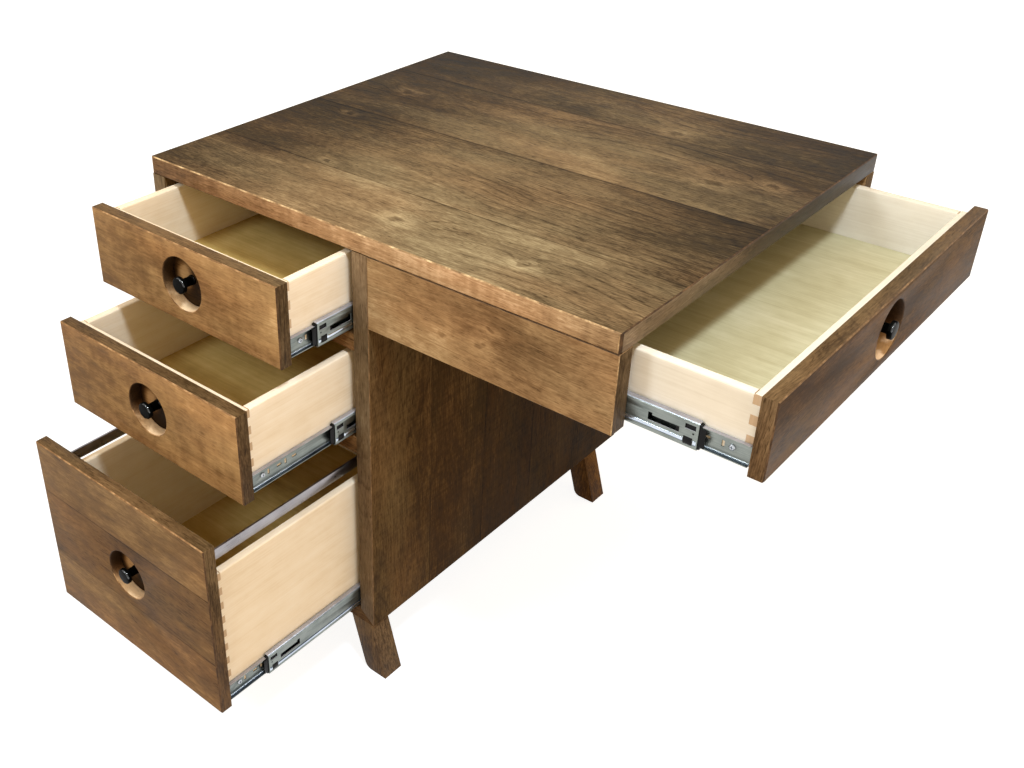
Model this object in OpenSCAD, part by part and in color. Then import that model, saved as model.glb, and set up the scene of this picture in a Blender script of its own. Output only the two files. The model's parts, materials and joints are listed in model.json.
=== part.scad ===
// Writing desk on a three drawer pedestal. The pedestal stands at the left, an apron runs
// round an open knee space, and a wide shallow drawer opens to the right.
// Desk coordinates: X from the pedestal's left face to the right, Y from the front face back,
// Z up from the floor. The drawers are drawn pulled out by the amounts under Pulls.

/* [Desk] */
// Width of the top, left to right, mm
desk_w = 800; // [760:5:900]
// Depth of the top, front to back, mm
desk_d = 690; // [660:5:760]
// Height from the floor to the top surface, mm
desk_h = 762; // [740:2:790]
// Thickness of the top, side panels, drawer rails and aprons, mm
board_t = 27; // [24:0.5:28]
// Bevel that eases the edges of the top, mm
top_ease = 1.5; // [0.5:0.5:3]
// Radius of the top's four corners in plan, mm
top_corner_r = 4; // [2:1:8]
// Height of the aprons below the top, mm
apron_h = 106; // [102:1:115]
// Bevel that eases the outer edges of the aprons and pedestal sides, mm
frame_ease = 1; // [0.5:0.5:2]

/* [Pedestal] */
// Outside width of the pedestal, mm
ped_w = 430; // [400:5:450]
// Thickness of the pedestal's bottom panel, mm
floor_t = 22; // [18:1:26]
// Thickness of the pedestal's back panel, mm
back_t = 19; // [12:1:22]
// Depth of the rails between the drawers, mm
rail_d = 70; // [40:5:100]

/* [Feet] */
// Height of the feet, mm
foot_h = 98; // [85:1:110]
// Width of a foot, left to right, mm
foot_w = 40; // [32:1:46]
// Depth of a foot, front to back, mm
foot_d = 38; // [30:1:46]
// How far a foot's outer edge starts inside the pedestal's side, mm
foot_inset = 6; // [2:1:12]
// How far a foot leans out over its height, mm
foot_lean = 29; // [20:1:36]
// Radius of a foot's lower inner corner, mm
foot_round = 14; // [6:1:18]
// Distance of the back feet from the desk's back face, mm
back_foot_in = 58; // [30:2:90]

/* [Drawer fronts] */
// Thickness of the drawer fronts, mm
front_t = 19; // [18:0.5:21]
// Gap round each inset drawer front, mm
reveal = 2; // [1.5:0.25:3]
// Bevel round the face of each front, mm
front_ease = 1.5; // [0.5:0.5:2.5]
// Height of the top drawer's front, mm
top_front_h = 118; // [112:1:130]
// Height of the middle drawer's front, mm
middle_front_h = 138; // [126:1:145]
// Diameter of the round finger opening in each front, mm
finger_hole_d = 78; // [66:1:80]
// Bevel round the rim of the finger opening, mm
finger_hole_ease = 1; // [0.5:0.5:2]

/* [Drawer boxes] */
// Thickness of the drawer sides, mm
side_t = 12.7; // [10:0.1:14]
// Rounding of the boxes' top edges, mm
side_round = 2.5; // [1:0.5:3.5]
// Height that one corner joint finger should have, mm
finger_h = 12.9; // [10:0.1:18]
// Rise of a box above the lower edge of its front, mm
box_lift = 5; // [4:0.5:6]
// Drop of a box's top below the upper edge of its front, mm
box_drop = 7; // [5:0.5:8]
// Drop of the file drawer's sides below the upper edge of its front, mm
file_drop = 60; // [45:1:80]
// Thickness of the plywood bottoms, mm
ply_t = 6; // [4:0.5:8]
// Depth of the grooves that hold the bottoms, mm
groove_d = 5; // [3:0.5:6]
// Height of a bottom above the lower edge of its box, mm
ply_lift = 6; // [5:0.5:8]
// Gap behind the closed side drawer, mm
pencil_back_gap = 21; // [12:1:30]

/* [Slides] */
// Length of the pedestal drawers' slides and boxes, mm
slide_len = 550; // [450:50:550]
// Side space that one slide fills, mm
slide_gap = 12.7; // [12.7:0.1:13.2]
// Thickness of the slides' sheet steel, mm
sheet_t = 1.2; // [1:0.1:1.3]
// Height of the cabinet member, mm
cabinet_h = 45.6; // [45:0.1:46]
// Height of the intermediate member, mm
middle_h = 36; // [35.5:0.1:36.5]
// Height of the drawer member, mm
inner_h = 27.5; // [27:0.1:28]
// Height of the slides' centre line above the lower edge of a front, mm
slide_up = 21.5; // [21.5:0.1:22.5]
// Set-back of the slides behind the fronts, mm
slide_back = 3; // [2:0.5:4]
// Set-back of the intermediate members behind the fronts, mm
middle_back = 9; // [8.5:0.5:12]
// Outer radius of the members' rolled bends, mm
bend_r = 3; // [2:0.25:4]
// Length of a ball cage, mm
cage_len = 36; // [30:1:60]
// How far the inner cage stands out of the intermediate member, mm
cage_out = 8; // [4:1:8]
// Running clearance in the slides, mm
run = 0.3; // [0.2:0.05:0.4]

/* [Knobs] */
// Length of a knob from the floor of its opening, mm
knob_l = 25; // [22:0.5:28]
// Diameter of a knob's head, mm
knob_d = 24; // [20:0.5:28]
// Diameter of a knob's foot, mm
knob_foot_d = 14.5; // [14:0.5:18]
// Diameter of a knob's neck, mm
knob_neck_d = 13; // [11:0.5:14]

/* [File rails] */
// Height of the bars that hang the files, mm
bar_h = 17; // [13:1:20]
// Thickness of the bars, mm
bar_t = 3; // [2:0.5:4]
// Drop of the bars below the upper edge of the front, mm
bar_drop = 30; // [22:1:36]
// Width of the tabs at the bars' ends, mm
tab_w = 12; // [9:1:14]
// Thickness of the tabs, mm
tab_t = 2; // [1.5:0.5:3]
// How far the tabs reach below the bars, mm
tab_drop = 4; // [2:1:6]

/* [Screws] */
// Diameter of the screws' shanks, mm
screw_d = 3.6; // [3:0.1:4]
// Diameter of the screws' heads, mm
screw_head_d = 7.6; // [7:0.1:8]
// Thickness of the screws' heads, mm
screw_head_t = 1.8; // [1.4:0.1:2.2]
// Length of the screws' grip in wood, mm
screw_grip = 12; // [9:0.5:14]
// Length of the foot screws' grip in the feet, mm
foot_grip = 26; // [18:1:32]
// Distance of a slide's first screw from its front end, mm
first_screw = 22; // [18:1:26]
// Distance of a slide's last screw from its rear end, mm
last_screw = 30; // [20:1:40]
// Distance of the front's screws from the box's sides, mm
front_screw_in = 48; // [30:1:60]
// Distance of the front's lower screws from the box's lower edge, mm
front_screw_low = 24; // [22:1:30]
// Distance of the front's upper screws from the box's upper edge, mm
front_screw_high = 16; // [12:1:20]

/* [Pulls] */
// How far the top drawer is pulled out, mm
top_pull = 131; // [100:1:270]
// How far the top drawer's intermediate members are out, mm
top_run_out = 92; // [0:1:100]
// How far the middle drawer is pulled out, mm
middle_pull = 211; // [100:1:270]
// How far the middle drawer's intermediate members are out, mm
middle_run_out = 67; // [0:1:100]
// How far the file drawer is pulled out, mm
file_pull = 284; // [230:1:400]
// How far the file drawer's intermediate members are out, mm
file_run_out = 219; // [180:1:224]
// How far the side drawer is pulled out, mm
pencil_pull = 169; // [130:1:240]
// How far the side drawer's intermediate members are out, mm
pencil_run_out = 117; // [100:1:130]

/* [Hidden] */
$fn = 48;
top_z = desk_h - board_t;
apron_z = top_z - apron_h;
open_w = ped_w - 2 * board_t;
open_z = foot_h + floor_t;
top_bay_h = top_front_h + 2 * reveal;
middle_bay_h = middle_front_h + 2 * reveal;
top_rail_z = top_z - top_bay_h - board_t;
lower_rail_z = top_rail_z - middle_bay_h - board_t;
file_front_h = lower_rail_z - open_z - 2 * reveal;
front_w = open_w - 2 * reveal;
box_w = open_w - 2 * slide_gap;
pencil_open_w = desk_d - 2 * board_t;
pencil_front_w = pencil_open_w - 2 * reveal;
pencil_front_h = apron_h - 2 * reveal;
pencil_box_w = pencil_open_w - 2 * slide_gap;
pencil_box_len = desk_w - ped_w - front_t - pencil_back_gap;
slide_step = 50;
pencil_slide_len = floor(pencil_box_len / slide_step) * slide_step;
top_box_h = top_front_h - box_lift - box_drop;
middle_box_h = middle_front_h - box_lift - box_drop;
file_box_h = file_front_h - box_lift - file_drop;
bar_cover = 4;
file_back_h = file_front_h - box_lift - bar_drop + bar_cover;
pencil_box_h = pencil_front_h - box_lift - box_drop;
top_front_z = top_z - reveal - top_front_h;
middle_front_z = top_rail_z - reveal - middle_front_h;
file_front_z = open_z + reveal;
pencil_front_z = top_z - reveal - pencil_front_h;
screw_short = 3;
outer_cage_len = 60;
outer_cage_back = 24;
cage_step = 2.5;
cage_nose_h = 25;
web_gap = 1;
web_out = slide_gap - sheet_t - web_gap;
web_in = web_out - sheet_t;
cabinet_tip = 4.5;
runner_tip = 2;
drawer_tip = 7.5;
knob_proud = knob_l - front_t;
left_reach = foot_lean - foot_inset;
right_reach = desk_w + pencil_pull + knob_proud;
front_reach = file_pull + knob_proud;
shift_x = (right_reach - left_reach) / 2;
shift_y = (desk_d - front_reach) / 2;
// Stamped openings of the slides: distance from the front end, height of the lower edge over the
// centre line, length and height.
clip_window = [6, -13.5, 11, 10];
runner_windows = [clip_window, [3.5, 6.5, 13, 6.5], [23, -2.5, 39, 7.5], [57, 1, 5, 7]];
drawer_windows = [[31, -4, 3.5, 8], [48, -1.5, 8, 3.5], [62, -4, 3.5, 8], [76, -1.5, 8, 3.5]];
stain = [0.45, 0.31, 0.18];
stain_dark = [0.30, 0.20, 0.12];
maple = [0.90, 0.82, 0.66];
ply = [0.78, 0.70, 0.46];
zinc = [0.72, 0.74, 0.76];
black = [0.05, 0.05, 0.055];

// Places desk coordinates so that the origin is at the centre of the base of the whole part.
module place() {
    translate([-shift_x, -shift_y, 0])
        children();
}

// A pedestal drawer's own coordinates: X across from its middle, Y back from the face of its
// front, Z up from the lower edge of its front.
module in_pedestal(z, pull) {
    place()
        translate([ped_w / 2, -pull, z])
            children();
}

// The side drawer's own coordinates, turned so that its face looks to the right.
module at_side(pull) {
    place()
        translate([desk_w + pull, desk_d / 2, pencil_front_z])
            rotate([0, 0, 90])
                children();
}

// Outline of a board seen end on, with the two corners at its face bevelled.
module eased_outline(w, t, e) {
    polygon([[0, e], [e, 0], [w - e, 0], [w, e], [w, t], [0, t]]);
}

// Outline of a panel with all four corners bevelled.
module bevelled(w, h, e) {
    polygon([[e, 0], [w - e, 0], [w, e], [w, h - e], [w - e, h], [e, h], [0, h - e], [0, e]]);
}

// Section of a drawer side, from its foot up to its two rounded top edges.
module rounded_section(t, h, r) {
    polygon(concat([[0, 0], [t, 0]],
        [for (a = [0:22.5:90]) [t - r + r * cos(a), h - r + r * sin(a)]],
        [for (a = [90:22.5:180]) [r + r * cos(a), h - r + r * sin(a)]]));
}

// The top: one glued up plank with eased edges and slightly rounded corners.
module top() {
    color(stain)
        place()
            translate([0, 0, top_z])
                intersection() {
                    translate([0, desk_d, 0])
                        rotate([90, 0, 0])
                            linear_extrude(desk_d)
                                bevelled(desk_w, board_t, top_ease);
                    rotate([90, 0, 90])
                        linear_extrude(desk_w)
                            bevelled(desk_d, board_t, top_ease);
                    linear_extrude(board_t)
                        rounded_plan();
                }
}

module rounded_plan() {
    r = top_corner_r;
    polygon([for (c = [[desk_w - r, desk_d - r, 0], [r, desk_d - r, 90], [r, r, 180],
        [desk_w - r, r, 270]]) for (a = [0:22.5:90])
            [c[0] + r * cos(c[2] + a), c[1] + r * sin(c[2] + a)]]);
}

// Pedestal sides, mitred at the foot where they meet the bottom panel. Their outer edges are
// eased at the front and the back.
module side_panel() {
    e = frame_ease;
    intersection() {
        translate([0, desk_d, 0])
            rotate([90, 0, 0])
                linear_extrude(desk_d)
                    polygon([[0, foot_h], [board_t, open_z], [board_t, top_z], [0, top_z]]);
        linear_extrude(top_z)
            polygon([[e, 0], [board_t, 0], [board_t, desk_d], [e, desk_d], [0, desk_d - e], [0, e]]);
    }
}

module left_panel() {
    color(stain_dark)
        place()
            side_panel();
}

module right_panel() {
    color(stain_dark)
        place()
            translate([ped_w, 0, 0])
                mirror([1, 0, 0])
                    side_panel();
}

module back_panel() {
    color(stain_dark)
        place()
            translate([board_t, desk_d - back_t, open_z])
                cube([open_w, back_t, top_z - open_z]);
}

// The bottom panel has countersunk holes for the screws that hold the feet.
module bottom_panel() {
    color(stain_dark)
        place()
            difference() {
                translate([0, desk_d, 0])
                    rotate([90, 0, 0])
                        linear_extrude(desk_d)
                            polygon([[0, foot_h], [ped_w, foot_h], [ped_w - board_t, open_z],
                                [board_t, open_z]]);
                at_foot_screws() {
                    translate([0, 0, -screw_head_t - run])
                        cylinder(d = screw_head_d + 2 * run, h = screw_head_t + 2 * run);
                    translate([0, 0, -floor_t - 1])
                        cylinder(d = screw_d + 2 * run, h = floor_t);
                }
            }
}

// Two screws stand over each foot, in the part of it that lies under the pedestal's floor.
module at_foot_screws() {
    x = board_t + 5;
    for (x = [x, ped_w - x], y = [0, desk_d - back_foot_in - foot_d],
        s = [foot_d / 4, foot_d * 3 / 4])
        translate([x, y + s, open_z])
            children();
}

module foot_screws() {
    color(zinc)
        place()
            at_foot_screws() {
                translate([0, 0, -screw_head_t])
                    cylinder(d = screw_head_d, h = screw_head_t, $fn = 24);
                translate([0, 0, -floor_t - foot_grip])
                    cylinder(d = screw_d, h = floor_t + foot_grip - screw_head_t, $fn = 24);
            }
}

module drawer_rails() {
    color(stain)
        place()
            for (z = [top_rail_z, lower_rail_z])
                translate([board_t, 0, z])
                    cube([open_w, rail_d, board_t]);
}

// An apron runs from the pedestal to the end of the top. Its outer edges are eased.
module apron() {
    e = frame_ease;
    len = desk_w - ped_w;
    translate([ped_w, 0, apron_z])
        intersection() {
            rotate([90, 0, 90])
                linear_extrude(len)
                    polygon([[0, e], [e, 0], [board_t, 0], [board_t, apron_h], [e, apron_h],
                        [0, apron_h - e]]);
            linear_extrude(apron_h)
                polygon([[0, 0], [len - e, 0], [len, e], [len, board_t], [0, board_t]]);
        }
}

module front_apron() {
    color(stain)
        place()
            apron();
}

module back_apron() {
    color(stain)
        place()
            translate([0, desk_d, 0])
                mirror([0, 1, 0])
                    apron();
}

// A foot at the right of the pedestal, leaning out, with its lower inner corner rounded.
module foot() {
    top_x = ped_w - foot_inset;
    rise = atan2(foot_h, foot_lean);
    round_x = top_x - foot_w + foot_lean + foot_round * tan(rise / 2);
    translate([0, foot_d, 0])
        rotate([90, 0, 0])
            linear_extrude(foot_d)
                polygon(concat([[top_x, foot_h], [top_x - foot_w, foot_h]],
                    [for (i = [0:6]) let (a = 270 - rise + i * rise / 6)
                        [round_x + foot_round * cos(a), foot_round + foot_round * sin(a)]],
                    [[top_x + foot_lean, 0]]));
}

module foot_front_right() {
    color(stain)
        place()
            foot();
}

module foot_back_right() {
    color(stain)
        place()
            translate([0, desk_d - back_foot_in - foot_d, 0])
                foot();
}

module foot_front_left() {
    color(stain)
        place()
            translate([ped_w, 0, 0])
                mirror([1, 0, 0])
                    foot();
}

module foot_back_left() {
    color(stain)
        place()
            translate([ped_w, desk_d - back_foot_in - foot_d, 0])
                mirror([1, 0, 0])
                    foot();
}

// Points of a quarter bend of radius r round a centre, from angle a.
function bend(u, v, r, a) = [for (i = [0:4]) [u + r * cos(a + i * 22.5), v + r * sin(a + i * 22.5)]];

// A flat bar w wide and h high with its web side at U = 0 and two bends of radius r there.
function bent_bar(w, h, r) = concat([[w, -h / 2], [w, h / 2]], bend(r, h / 2 - r, r, 90),
    bend(r, r - h / 2, r, 180));

// Slide sections. U is the distance from the drawer side towards the cabinet, V is the height
// from the slide's centre line. Each member is a rolled channel that nests in the next one.
module channel(u_web, u_tip, h) {
    over = 1;
    w = abs(u_tip - u_web);
    translate([u_web, 0])
        mirror([u_web < u_tip ? 0 : 1, 0])
            difference() {
                polygon(bent_bar(w, h, bend_r));
                translate([sheet_t, 0])
                    polygon(bent_bar(w - sheet_t + over, h - 2 * sheet_t, bend_r - sheet_t));
            }
}

module member(u_web, u_tip, h, y0, len) {
    translate([0, y0 + len, slide_up])
        rotate([90, 0, 0])
            linear_extrude(len)
                channel(u_web, u_tip, h);
}

// Copies a right hand slide piece to both sides of a box of width w.
module both_sides(w) {
    translate([w / 2, 0, 0])
        children();
    translate([-w / 2, 0, 0])
        mirror([1, 0, 0])
            children();
}

// Distances along a slide at which its screws stand.
function screw_stops(len) = [first_screw, len / 2, len - last_screw];

// Cuts the stamped openings of one member out of its web, which starts at U = u.
module windows(u, y0, list) {
    for (w = list)
        translate([u - 1, y0 + w[0], slide_up + w[1]])
            cube([sheet_t + 2, w[2], w[3]]);
}

// Cabinet member: the outer channel, screwed to the cabinet with flush heads.
module cabinet_member(len) {
    difference() {
        member(slide_gap, cabinet_tip, cabinet_h, front_t + slide_back, len);
        for (s = screw_stops(len))
            translate([slide_gap - sheet_t - 1, front_t + slide_back + s, slide_up])
                rotate([0, 90, 0])
                    cylinder(d = screw_head_d + 2 * run, h = sheet_t + 2);
    }
}

module cabinet_screw_set(len) {
    for (s = screw_stops(len))
        translate([slide_gap - sheet_t, front_t + slide_back + s, slide_up])
            rotate([0, 90, 0])
                union() {
                    cylinder(d = screw_head_d, h = sheet_t, $fn = 24);
                    cylinder(d = screw_d, h = sheet_t + screw_grip, $fn = 24);
                }
}

// Intermediate member: the sliding channel, with stamped windows near its front end.
module runner(len) {
    y0 = front_t + middle_back;
    difference() {
        member(web_out, runner_tip, middle_h, y0, len - 2 * (middle_back - slide_back));
        windows(web_in, y0, runner_windows);
    }
}

// Ball cages: the inner one shows at the runner's front end, where its middle stands out beyond
// its two rows of balls. The outer strips stay inside. A small stop fills the lowest window of
// the runner.
module cage(len) {
    y0 = front_t + middle_back;
    cage_tip = runner_tip + run;
    race_h = middle_h - 2 * sheet_t - 2 * run;
    difference() {
        translate([0, y0 - cage_out + cage_len, slide_up])
            rotate([90, 0, 0])
                linear_extrude(cage_len)
                    difference() {
                        translate([web_in - run, 0])
                            mirror([1, 0])
                                polygon(bent_bar(web_in - run - cage_tip, race_h, bend_r - sheet_t));
                        translate([cage_tip - 1, -inner_h / 2 - run])
                            square([drawer_tip + run - cage_tip + 1, inner_h + 2 * run]);
                    }
        for (v = [cage_nose_h / 2, -cage_nose_h / 2 - race_h])
            translate([0, y0 - cage_out - 1, slide_up + v])
                cube([slide_gap, cage_out - cage_step + 1, race_h]);
    }
    translate([web_in, y0 + clip_window[0] + run, slide_up + clip_window[1] + run])
        cube([sheet_t, clip_window[2] - 2 * run, clip_window[3] - 2 * run]);
    strip_h = cabinet_h / 2 - sheet_t - middle_h / 2 - 2 * run;
    strip_u = cabinet_tip + run;
    strip_w = slide_gap - bend_r - strip_u;
    for (v = [middle_h / 2 + run, -middle_h / 2 - run - strip_h])
        translate([strip_u, front_t + len - outer_cage_back - outer_cage_len, slide_up + v])
            cube([strip_w, outer_cage_len, strip_h]);
}

// Drawer member: the inner channel, screwed to the drawer side.
module drawer_member(len) {
    y0 = front_t + slide_back;
    difference() {
        member(0, drawer_tip, inner_h, y0, len);
        for (s = screw_stops(len))
            translate([-1, y0 + s, slide_up])
                rotate([0, 90, 0])
                    cylinder(d = screw_d + 2 * run, h = sheet_t + 2, $fn = 24);
        windows(0, y0, drawer_windows);
    }
}

module runners(w, len) {
    color(zinc)
        both_sides(w)
            runner(len);
}

module cages(w, len) {
    color(black)
        both_sides(w)
            cage(len);
}

module drawer_members(w, len) {
    color(zinc)
        both_sides(w)
            drawer_member(len);
}

// A pan head screw along +Y: its head in front of Y = 0, its shank behind.
module screw(shank) {
    rotate([90, 0, 0])
        cylinder(d1 = screw_head_d, d2 = screw_head_d - 2, h = screw_head_t, $fn = 24);
    rotate([-90, 0, 0])
        cylinder(d = screw_d, h = shank, $fn = 24);
}

// Places the four screws that hold a front, on the inner face of the box front.
module at_front_screws(w, box_h) {
    for (x = [front_screw_in - w / 2, w / 2 - front_screw_in],
        z = [box_lift + front_screw_low, box_lift + box_h - front_screw_high])
        translate([x, front_t + side_t, z])
            children();
}

// All the screws of one drawer: six in the slides, four through the box front into the
// drawer front, and one that holds the knob.
module drawer_screws(w, box_h, knob_z, len) {
    color(zinc) {
        both_sides(w)
            for (s = screw_stops(len))
                translate([sheet_t, front_t + slide_back + s, slide_up])
                    rotate([0, 0, 90])
                        screw(side_t + sheet_t - screw_short);
        at_front_screws(w, box_h)
            rotate([0, 0, 180])
                screw(side_t + screw_grip);
        translate([0, front_t + side_t, knob_z])
            rotate([0, 0, 180])
                screw(side_t + screw_grip);
    }
}

// A drawer front: its face bevelled on all four sides, bored through for the fingers.
module drawer_front(w, h) {
    color(stain)
        difference() {
            intersection() {
                translate([-w / 2, 0, 0])
                    linear_extrude(h)
                        eased_outline(w, front_t, front_ease);
                translate([-w / 2, 0, 0])
                    rotate([90, 0, 90])
                        linear_extrude(w)
                            face_profile(h);
            }
            translate([0, front_t + 1, h / 2])
                rotate([90, 0, 0])
                    cylinder(d = finger_hole_d, h = front_t + 2, $fn = 96);
            translate([0, finger_hole_ease, h / 2])
                rotate([90, 0, 0])
                    cylinder(d1 = finger_hole_d, d2 = finger_hole_d + 4 * finger_hole_ease,
                        h = 2 * finger_hole_ease, $fn = 96);
        }
}

module face_profile(h) {
    e = front_ease;
    polygon([[0, e], [e, 0], [front_t, 0], [front_t, h], [e, h], [0, h - e]]);
}

// Number of fingers in the corner joints of a box of height h.
function fingers(h) = round(h / finger_h);

// The plywood bottom, let into grooves in the four walls.
module ply_bottom(w, len) {
    translate([-w / 2 + side_t - groove_d, front_t + side_t - groove_d, box_lift + ply_lift])
        cube([w - 2 * side_t + 2 * groove_d, len - 2 * side_t + 2 * groove_d, ply_t]);
}

// Finger slots across a corner, counted down from the top edge.
module finger_slots(h, first) {
    n = fingers(h);
    f = h / n;
    for (i = [first:2:n - 1])
        translate([0, 0, h - (i + 1) * f])
            cube([side_t, side_t, f]);
}

// A side wall of a box at its right. Its ends keep every second finger.
module box_side(w, len, h) {
    color(maple)
        difference() {
            translate([w / 2 - side_t, front_t + len, box_lift])
                rotate([90, 0, 0])
                    linear_extrude(len)
                        rounded_section(side_t, h, side_round);
            for (y = [front_t, front_t + len - side_t])
                translate([w / 2 - side_t, y, box_lift])
                    finger_slots(h, 0);
            ply_bottom(w, len);
        }
}

module box_side_left(w, len, h) {
    mirror([1, 0, 0])
        box_side(w, len, h);
}

// An end wall of a box. It fills the fingers that the sides leave free.
module box_end(w, len, h, y, tall) {
    color(maple)
        difference() {
            union() {
                translate([-w / 2, y, box_lift])
                    rotate([90, 0, 90])
                        linear_extrude(w)
                            rounded_section(side_t, h, side_round);
                if (tall > h)
                    translate([-w / 2, y, box_lift + h - side_round])
                        cube([w, side_t, tall - h + side_round]);
            }
            for (x = [-w / 2, w / 2 - side_t])
                translate([x, y, box_lift])
                    finger_slots(h, 1);
            ply_bottom(w, len);
        }
}

// The box front has clearance holes for the knob screw and the four front screws.
module box_front(w, len, h, knob_z) {
    difference() {
        box_end(w, len, h, front_t, h);
        at_front_screws(w, h)
            screw_hole();
        translate([0, front_t + side_t, knob_z])
            screw_hole();
    }
}

module screw_hole() {
    translate([0, 1, 0])
        rotate([90, 0, 0])
            cylinder(d = screw_d + 2 * run, h = side_t + 2, $fn = 24);
}

module box_back(w, len, h, tall) {
    box_end(w, len, h, front_t + len - side_t, tall);
}

module box_bottom(w, len) {
    color(ply)
        ply_bottom(w, len);
}

// A turned knob: a thick neck on a foot that is hardly wider, and a flat flared head with a
// rounded edge.
module knob(h) {
    neck_r = knob_neck_d / 2;
    head_r = knob_d / 2;
    foot_r = knob_foot_d / 2;
    head_t = 6;
    edge_r = 2;
    foot_t = 2;
    flare = 5;
    color(black)
        translate([0, front_t, h / 2])
            rotate([90, 0, 0])
                rotate_extrude($fn = 48)
                    polygon(concat([[0, 0], [foot_r, 0]],
                        [for (a = [0:15:90])
                            [neck_r + (foot_r - neck_r) * (1 - sin(a)),
                                foot_t + flare * (1 - cos(a))]],
                        [for (a = [0:15:90])
                            [head_r - (head_r - neck_r) * cos(a),
                                knob_l - head_t - flare + flare * sin(a)]],
                        [for (a = [0:22.5:90])
                            [head_r - edge_r + edge_r * cos(a), knob_l - edge_r + edge_r * sin(a)]],
                        [[0, knob_l]]));
}

// A bar on each side of the file drawer, with a tab at each end against the front and back.
module file_bar() {
    x = -side_t - bar_t / 2;
    y1 = front_t + slide_len - side_t;
    z = file_front_h - bar_drop - bar_h;
    translate([x, front_t, z])
        cube([bar_t, y1 - front_t, bar_h]);
    for (y = [front_t, y1 - tab_t])
        translate([x, y, z - tab_drop])
            cube([tab_w, tab_t, bar_h + tab_drop]);
}

module file_bars() {
    color(zinc)
        both_sides(box_w)
            file_bar();
}

module top_runners() {
    in_pedestal(top_front_z, top_run_out)
        runners(box_w, slide_len);
}

module top_cages() {
    in_pedestal(top_front_z, top_run_out)
        cages(box_w, slide_len);
}

module middle_runners() {
    in_pedestal(middle_front_z, middle_run_out)
        runners(box_w, slide_len);
}

module middle_cages() {
    in_pedestal(middle_front_z, middle_run_out)
        cages(box_w, slide_len);
}

module file_runners() {
    in_pedestal(file_front_z, file_run_out)
        runners(box_w, slide_len);
}

module file_cages() {
    in_pedestal(file_front_z, file_run_out)
        cages(box_w, slide_len);
}

module side_runners() {
    at_side(pencil_run_out)
        runners(pencil_box_w, pencil_slide_len);
}

module side_cages() {
    at_side(pencil_run_out)
        cages(pencil_box_w, pencil_slide_len);
}

module cabinet_members() {
    color(zinc) {
        for (z = [top_front_z, middle_front_z, file_front_z])
            in_pedestal(z, 0)
                both_sides(box_w)
                    cabinet_member(slide_len);
        at_side(0)
            both_sides(pencil_box_w)
                cabinet_member(pencil_slide_len);
    }
}

module cabinet_screws() {
    color(zinc) {
        for (z = [top_front_z, middle_front_z, file_front_z])
            in_pedestal(z, 0)
                both_sides(box_w)
                    cabinet_screw_set(slide_len);
        at_side(0)
            both_sides(pencil_box_w)
                cabinet_screw_set(pencil_slide_len);
    }
}

module top_place() {
    in_pedestal(top_front_z, top_pull)
        children();
}

module middle_place() {
    in_pedestal(middle_front_z, middle_pull)
        children();
}

module file_place() {
    in_pedestal(file_front_z, file_pull)
        children();
}

module side_place() {
    at_side(pencil_pull)
        children();
}

module top_drawer_front() {
    top_place()
        drawer_front(front_w, top_front_h);
}

module top_box_front() {
    top_place()
        box_front(box_w, slide_len, top_box_h, top_front_h / 2);
}

module top_box_back() {
    top_place()
        box_back(box_w, slide_len, top_box_h, top_box_h);
}

module top_box_left() {
    top_place()
        box_side_left(box_w, slide_len, top_box_h);
}

module top_box_right() {
    top_place()
        box_side(box_w, slide_len, top_box_h);
}

module top_bottom() {
    top_place()
        box_bottom(box_w, slide_len);
}

module top_knob() {
    top_place()
        knob(top_front_h);
}

module top_drawer_members() {
    top_place()
        drawer_members(box_w, slide_len);
}

module top_screws() {
    top_place()
        drawer_screws(box_w, top_box_h, top_front_h / 2, slide_len);
}

module middle_drawer_front() {
    middle_place()
        drawer_front(front_w, middle_front_h);
}

module middle_box_front() {
    middle_place()
        box_front(box_w, slide_len, middle_box_h, middle_front_h / 2);
}

module middle_box_back() {
    middle_place()
        box_back(box_w, slide_len, middle_box_h, middle_box_h);
}

module middle_box_left() {
    middle_place()
        box_side_left(box_w, slide_len, middle_box_h);
}

module middle_box_right() {
    middle_place()
        box_side(box_w, slide_len, middle_box_h);
}

module middle_bottom() {
    middle_place()
        box_bottom(box_w, slide_len);
}

module middle_knob() {
    middle_place()
        knob(middle_front_h);
}

module middle_drawer_members() {
    middle_place()
        drawer_members(box_w, slide_len);
}

module middle_screws() {
    middle_place()
        drawer_screws(box_w, middle_box_h, middle_front_h / 2, slide_len);
}

module file_drawer_front() {
    file_place()
        drawer_front(front_w, file_front_h);
}

module file_box_front() {
    file_place()
        box_front(box_w, slide_len, file_box_h, file_front_h / 2);
}

module file_box_back() {
    file_place()
        box_back(box_w, slide_len, file_box_h, file_back_h);
}

module file_box_left() {
    file_place()
        box_side_left(box_w, slide_len, file_box_h);
}

module file_box_right() {
    file_place()
        box_side(box_w, slide_len, file_box_h);
}

module file_bottom() {
    file_place()
        box_bottom(box_w, slide_len);
}

module file_knob() {
    file_place()
        knob(file_front_h);
}

module file_drawer_members() {
    file_place()
        drawer_members(box_w, slide_len);
}

module file_screws() {
    file_place()
        drawer_screws(box_w, file_box_h, file_front_h / 2, slide_len);
}

module file_rails() {
    file_place()
        file_bars();
}

module side_drawer_front() {
    side_place()
        drawer_front(pencil_front_w, pencil_front_h);
}

module side_box_front() {
    side_place()
        box_front(pencil_box_w, pencil_box_len, pencil_box_h, pencil_front_h / 2);
}

module side_box_back() {
    side_place()
        box_back(pencil_box_w, pencil_box_len, pencil_box_h, pencil_box_h);
}

module side_box_left() {
    side_place()
        box_side_left(pencil_box_w, pencil_box_len, pencil_box_h);
}

module side_box_right() {
    side_place()
        box_side(pencil_box_w, pencil_box_len, pencil_box_h);
}

module side_bottom() {
    side_place()
        box_bottom(pencil_box_w, pencil_box_len);
}

module side_knob() {
    side_place()
        knob(pencil_front_h);
}

module side_drawer_members() {
    side_place()
        drawer_members(pencil_box_w, pencil_slide_len);
}

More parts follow.
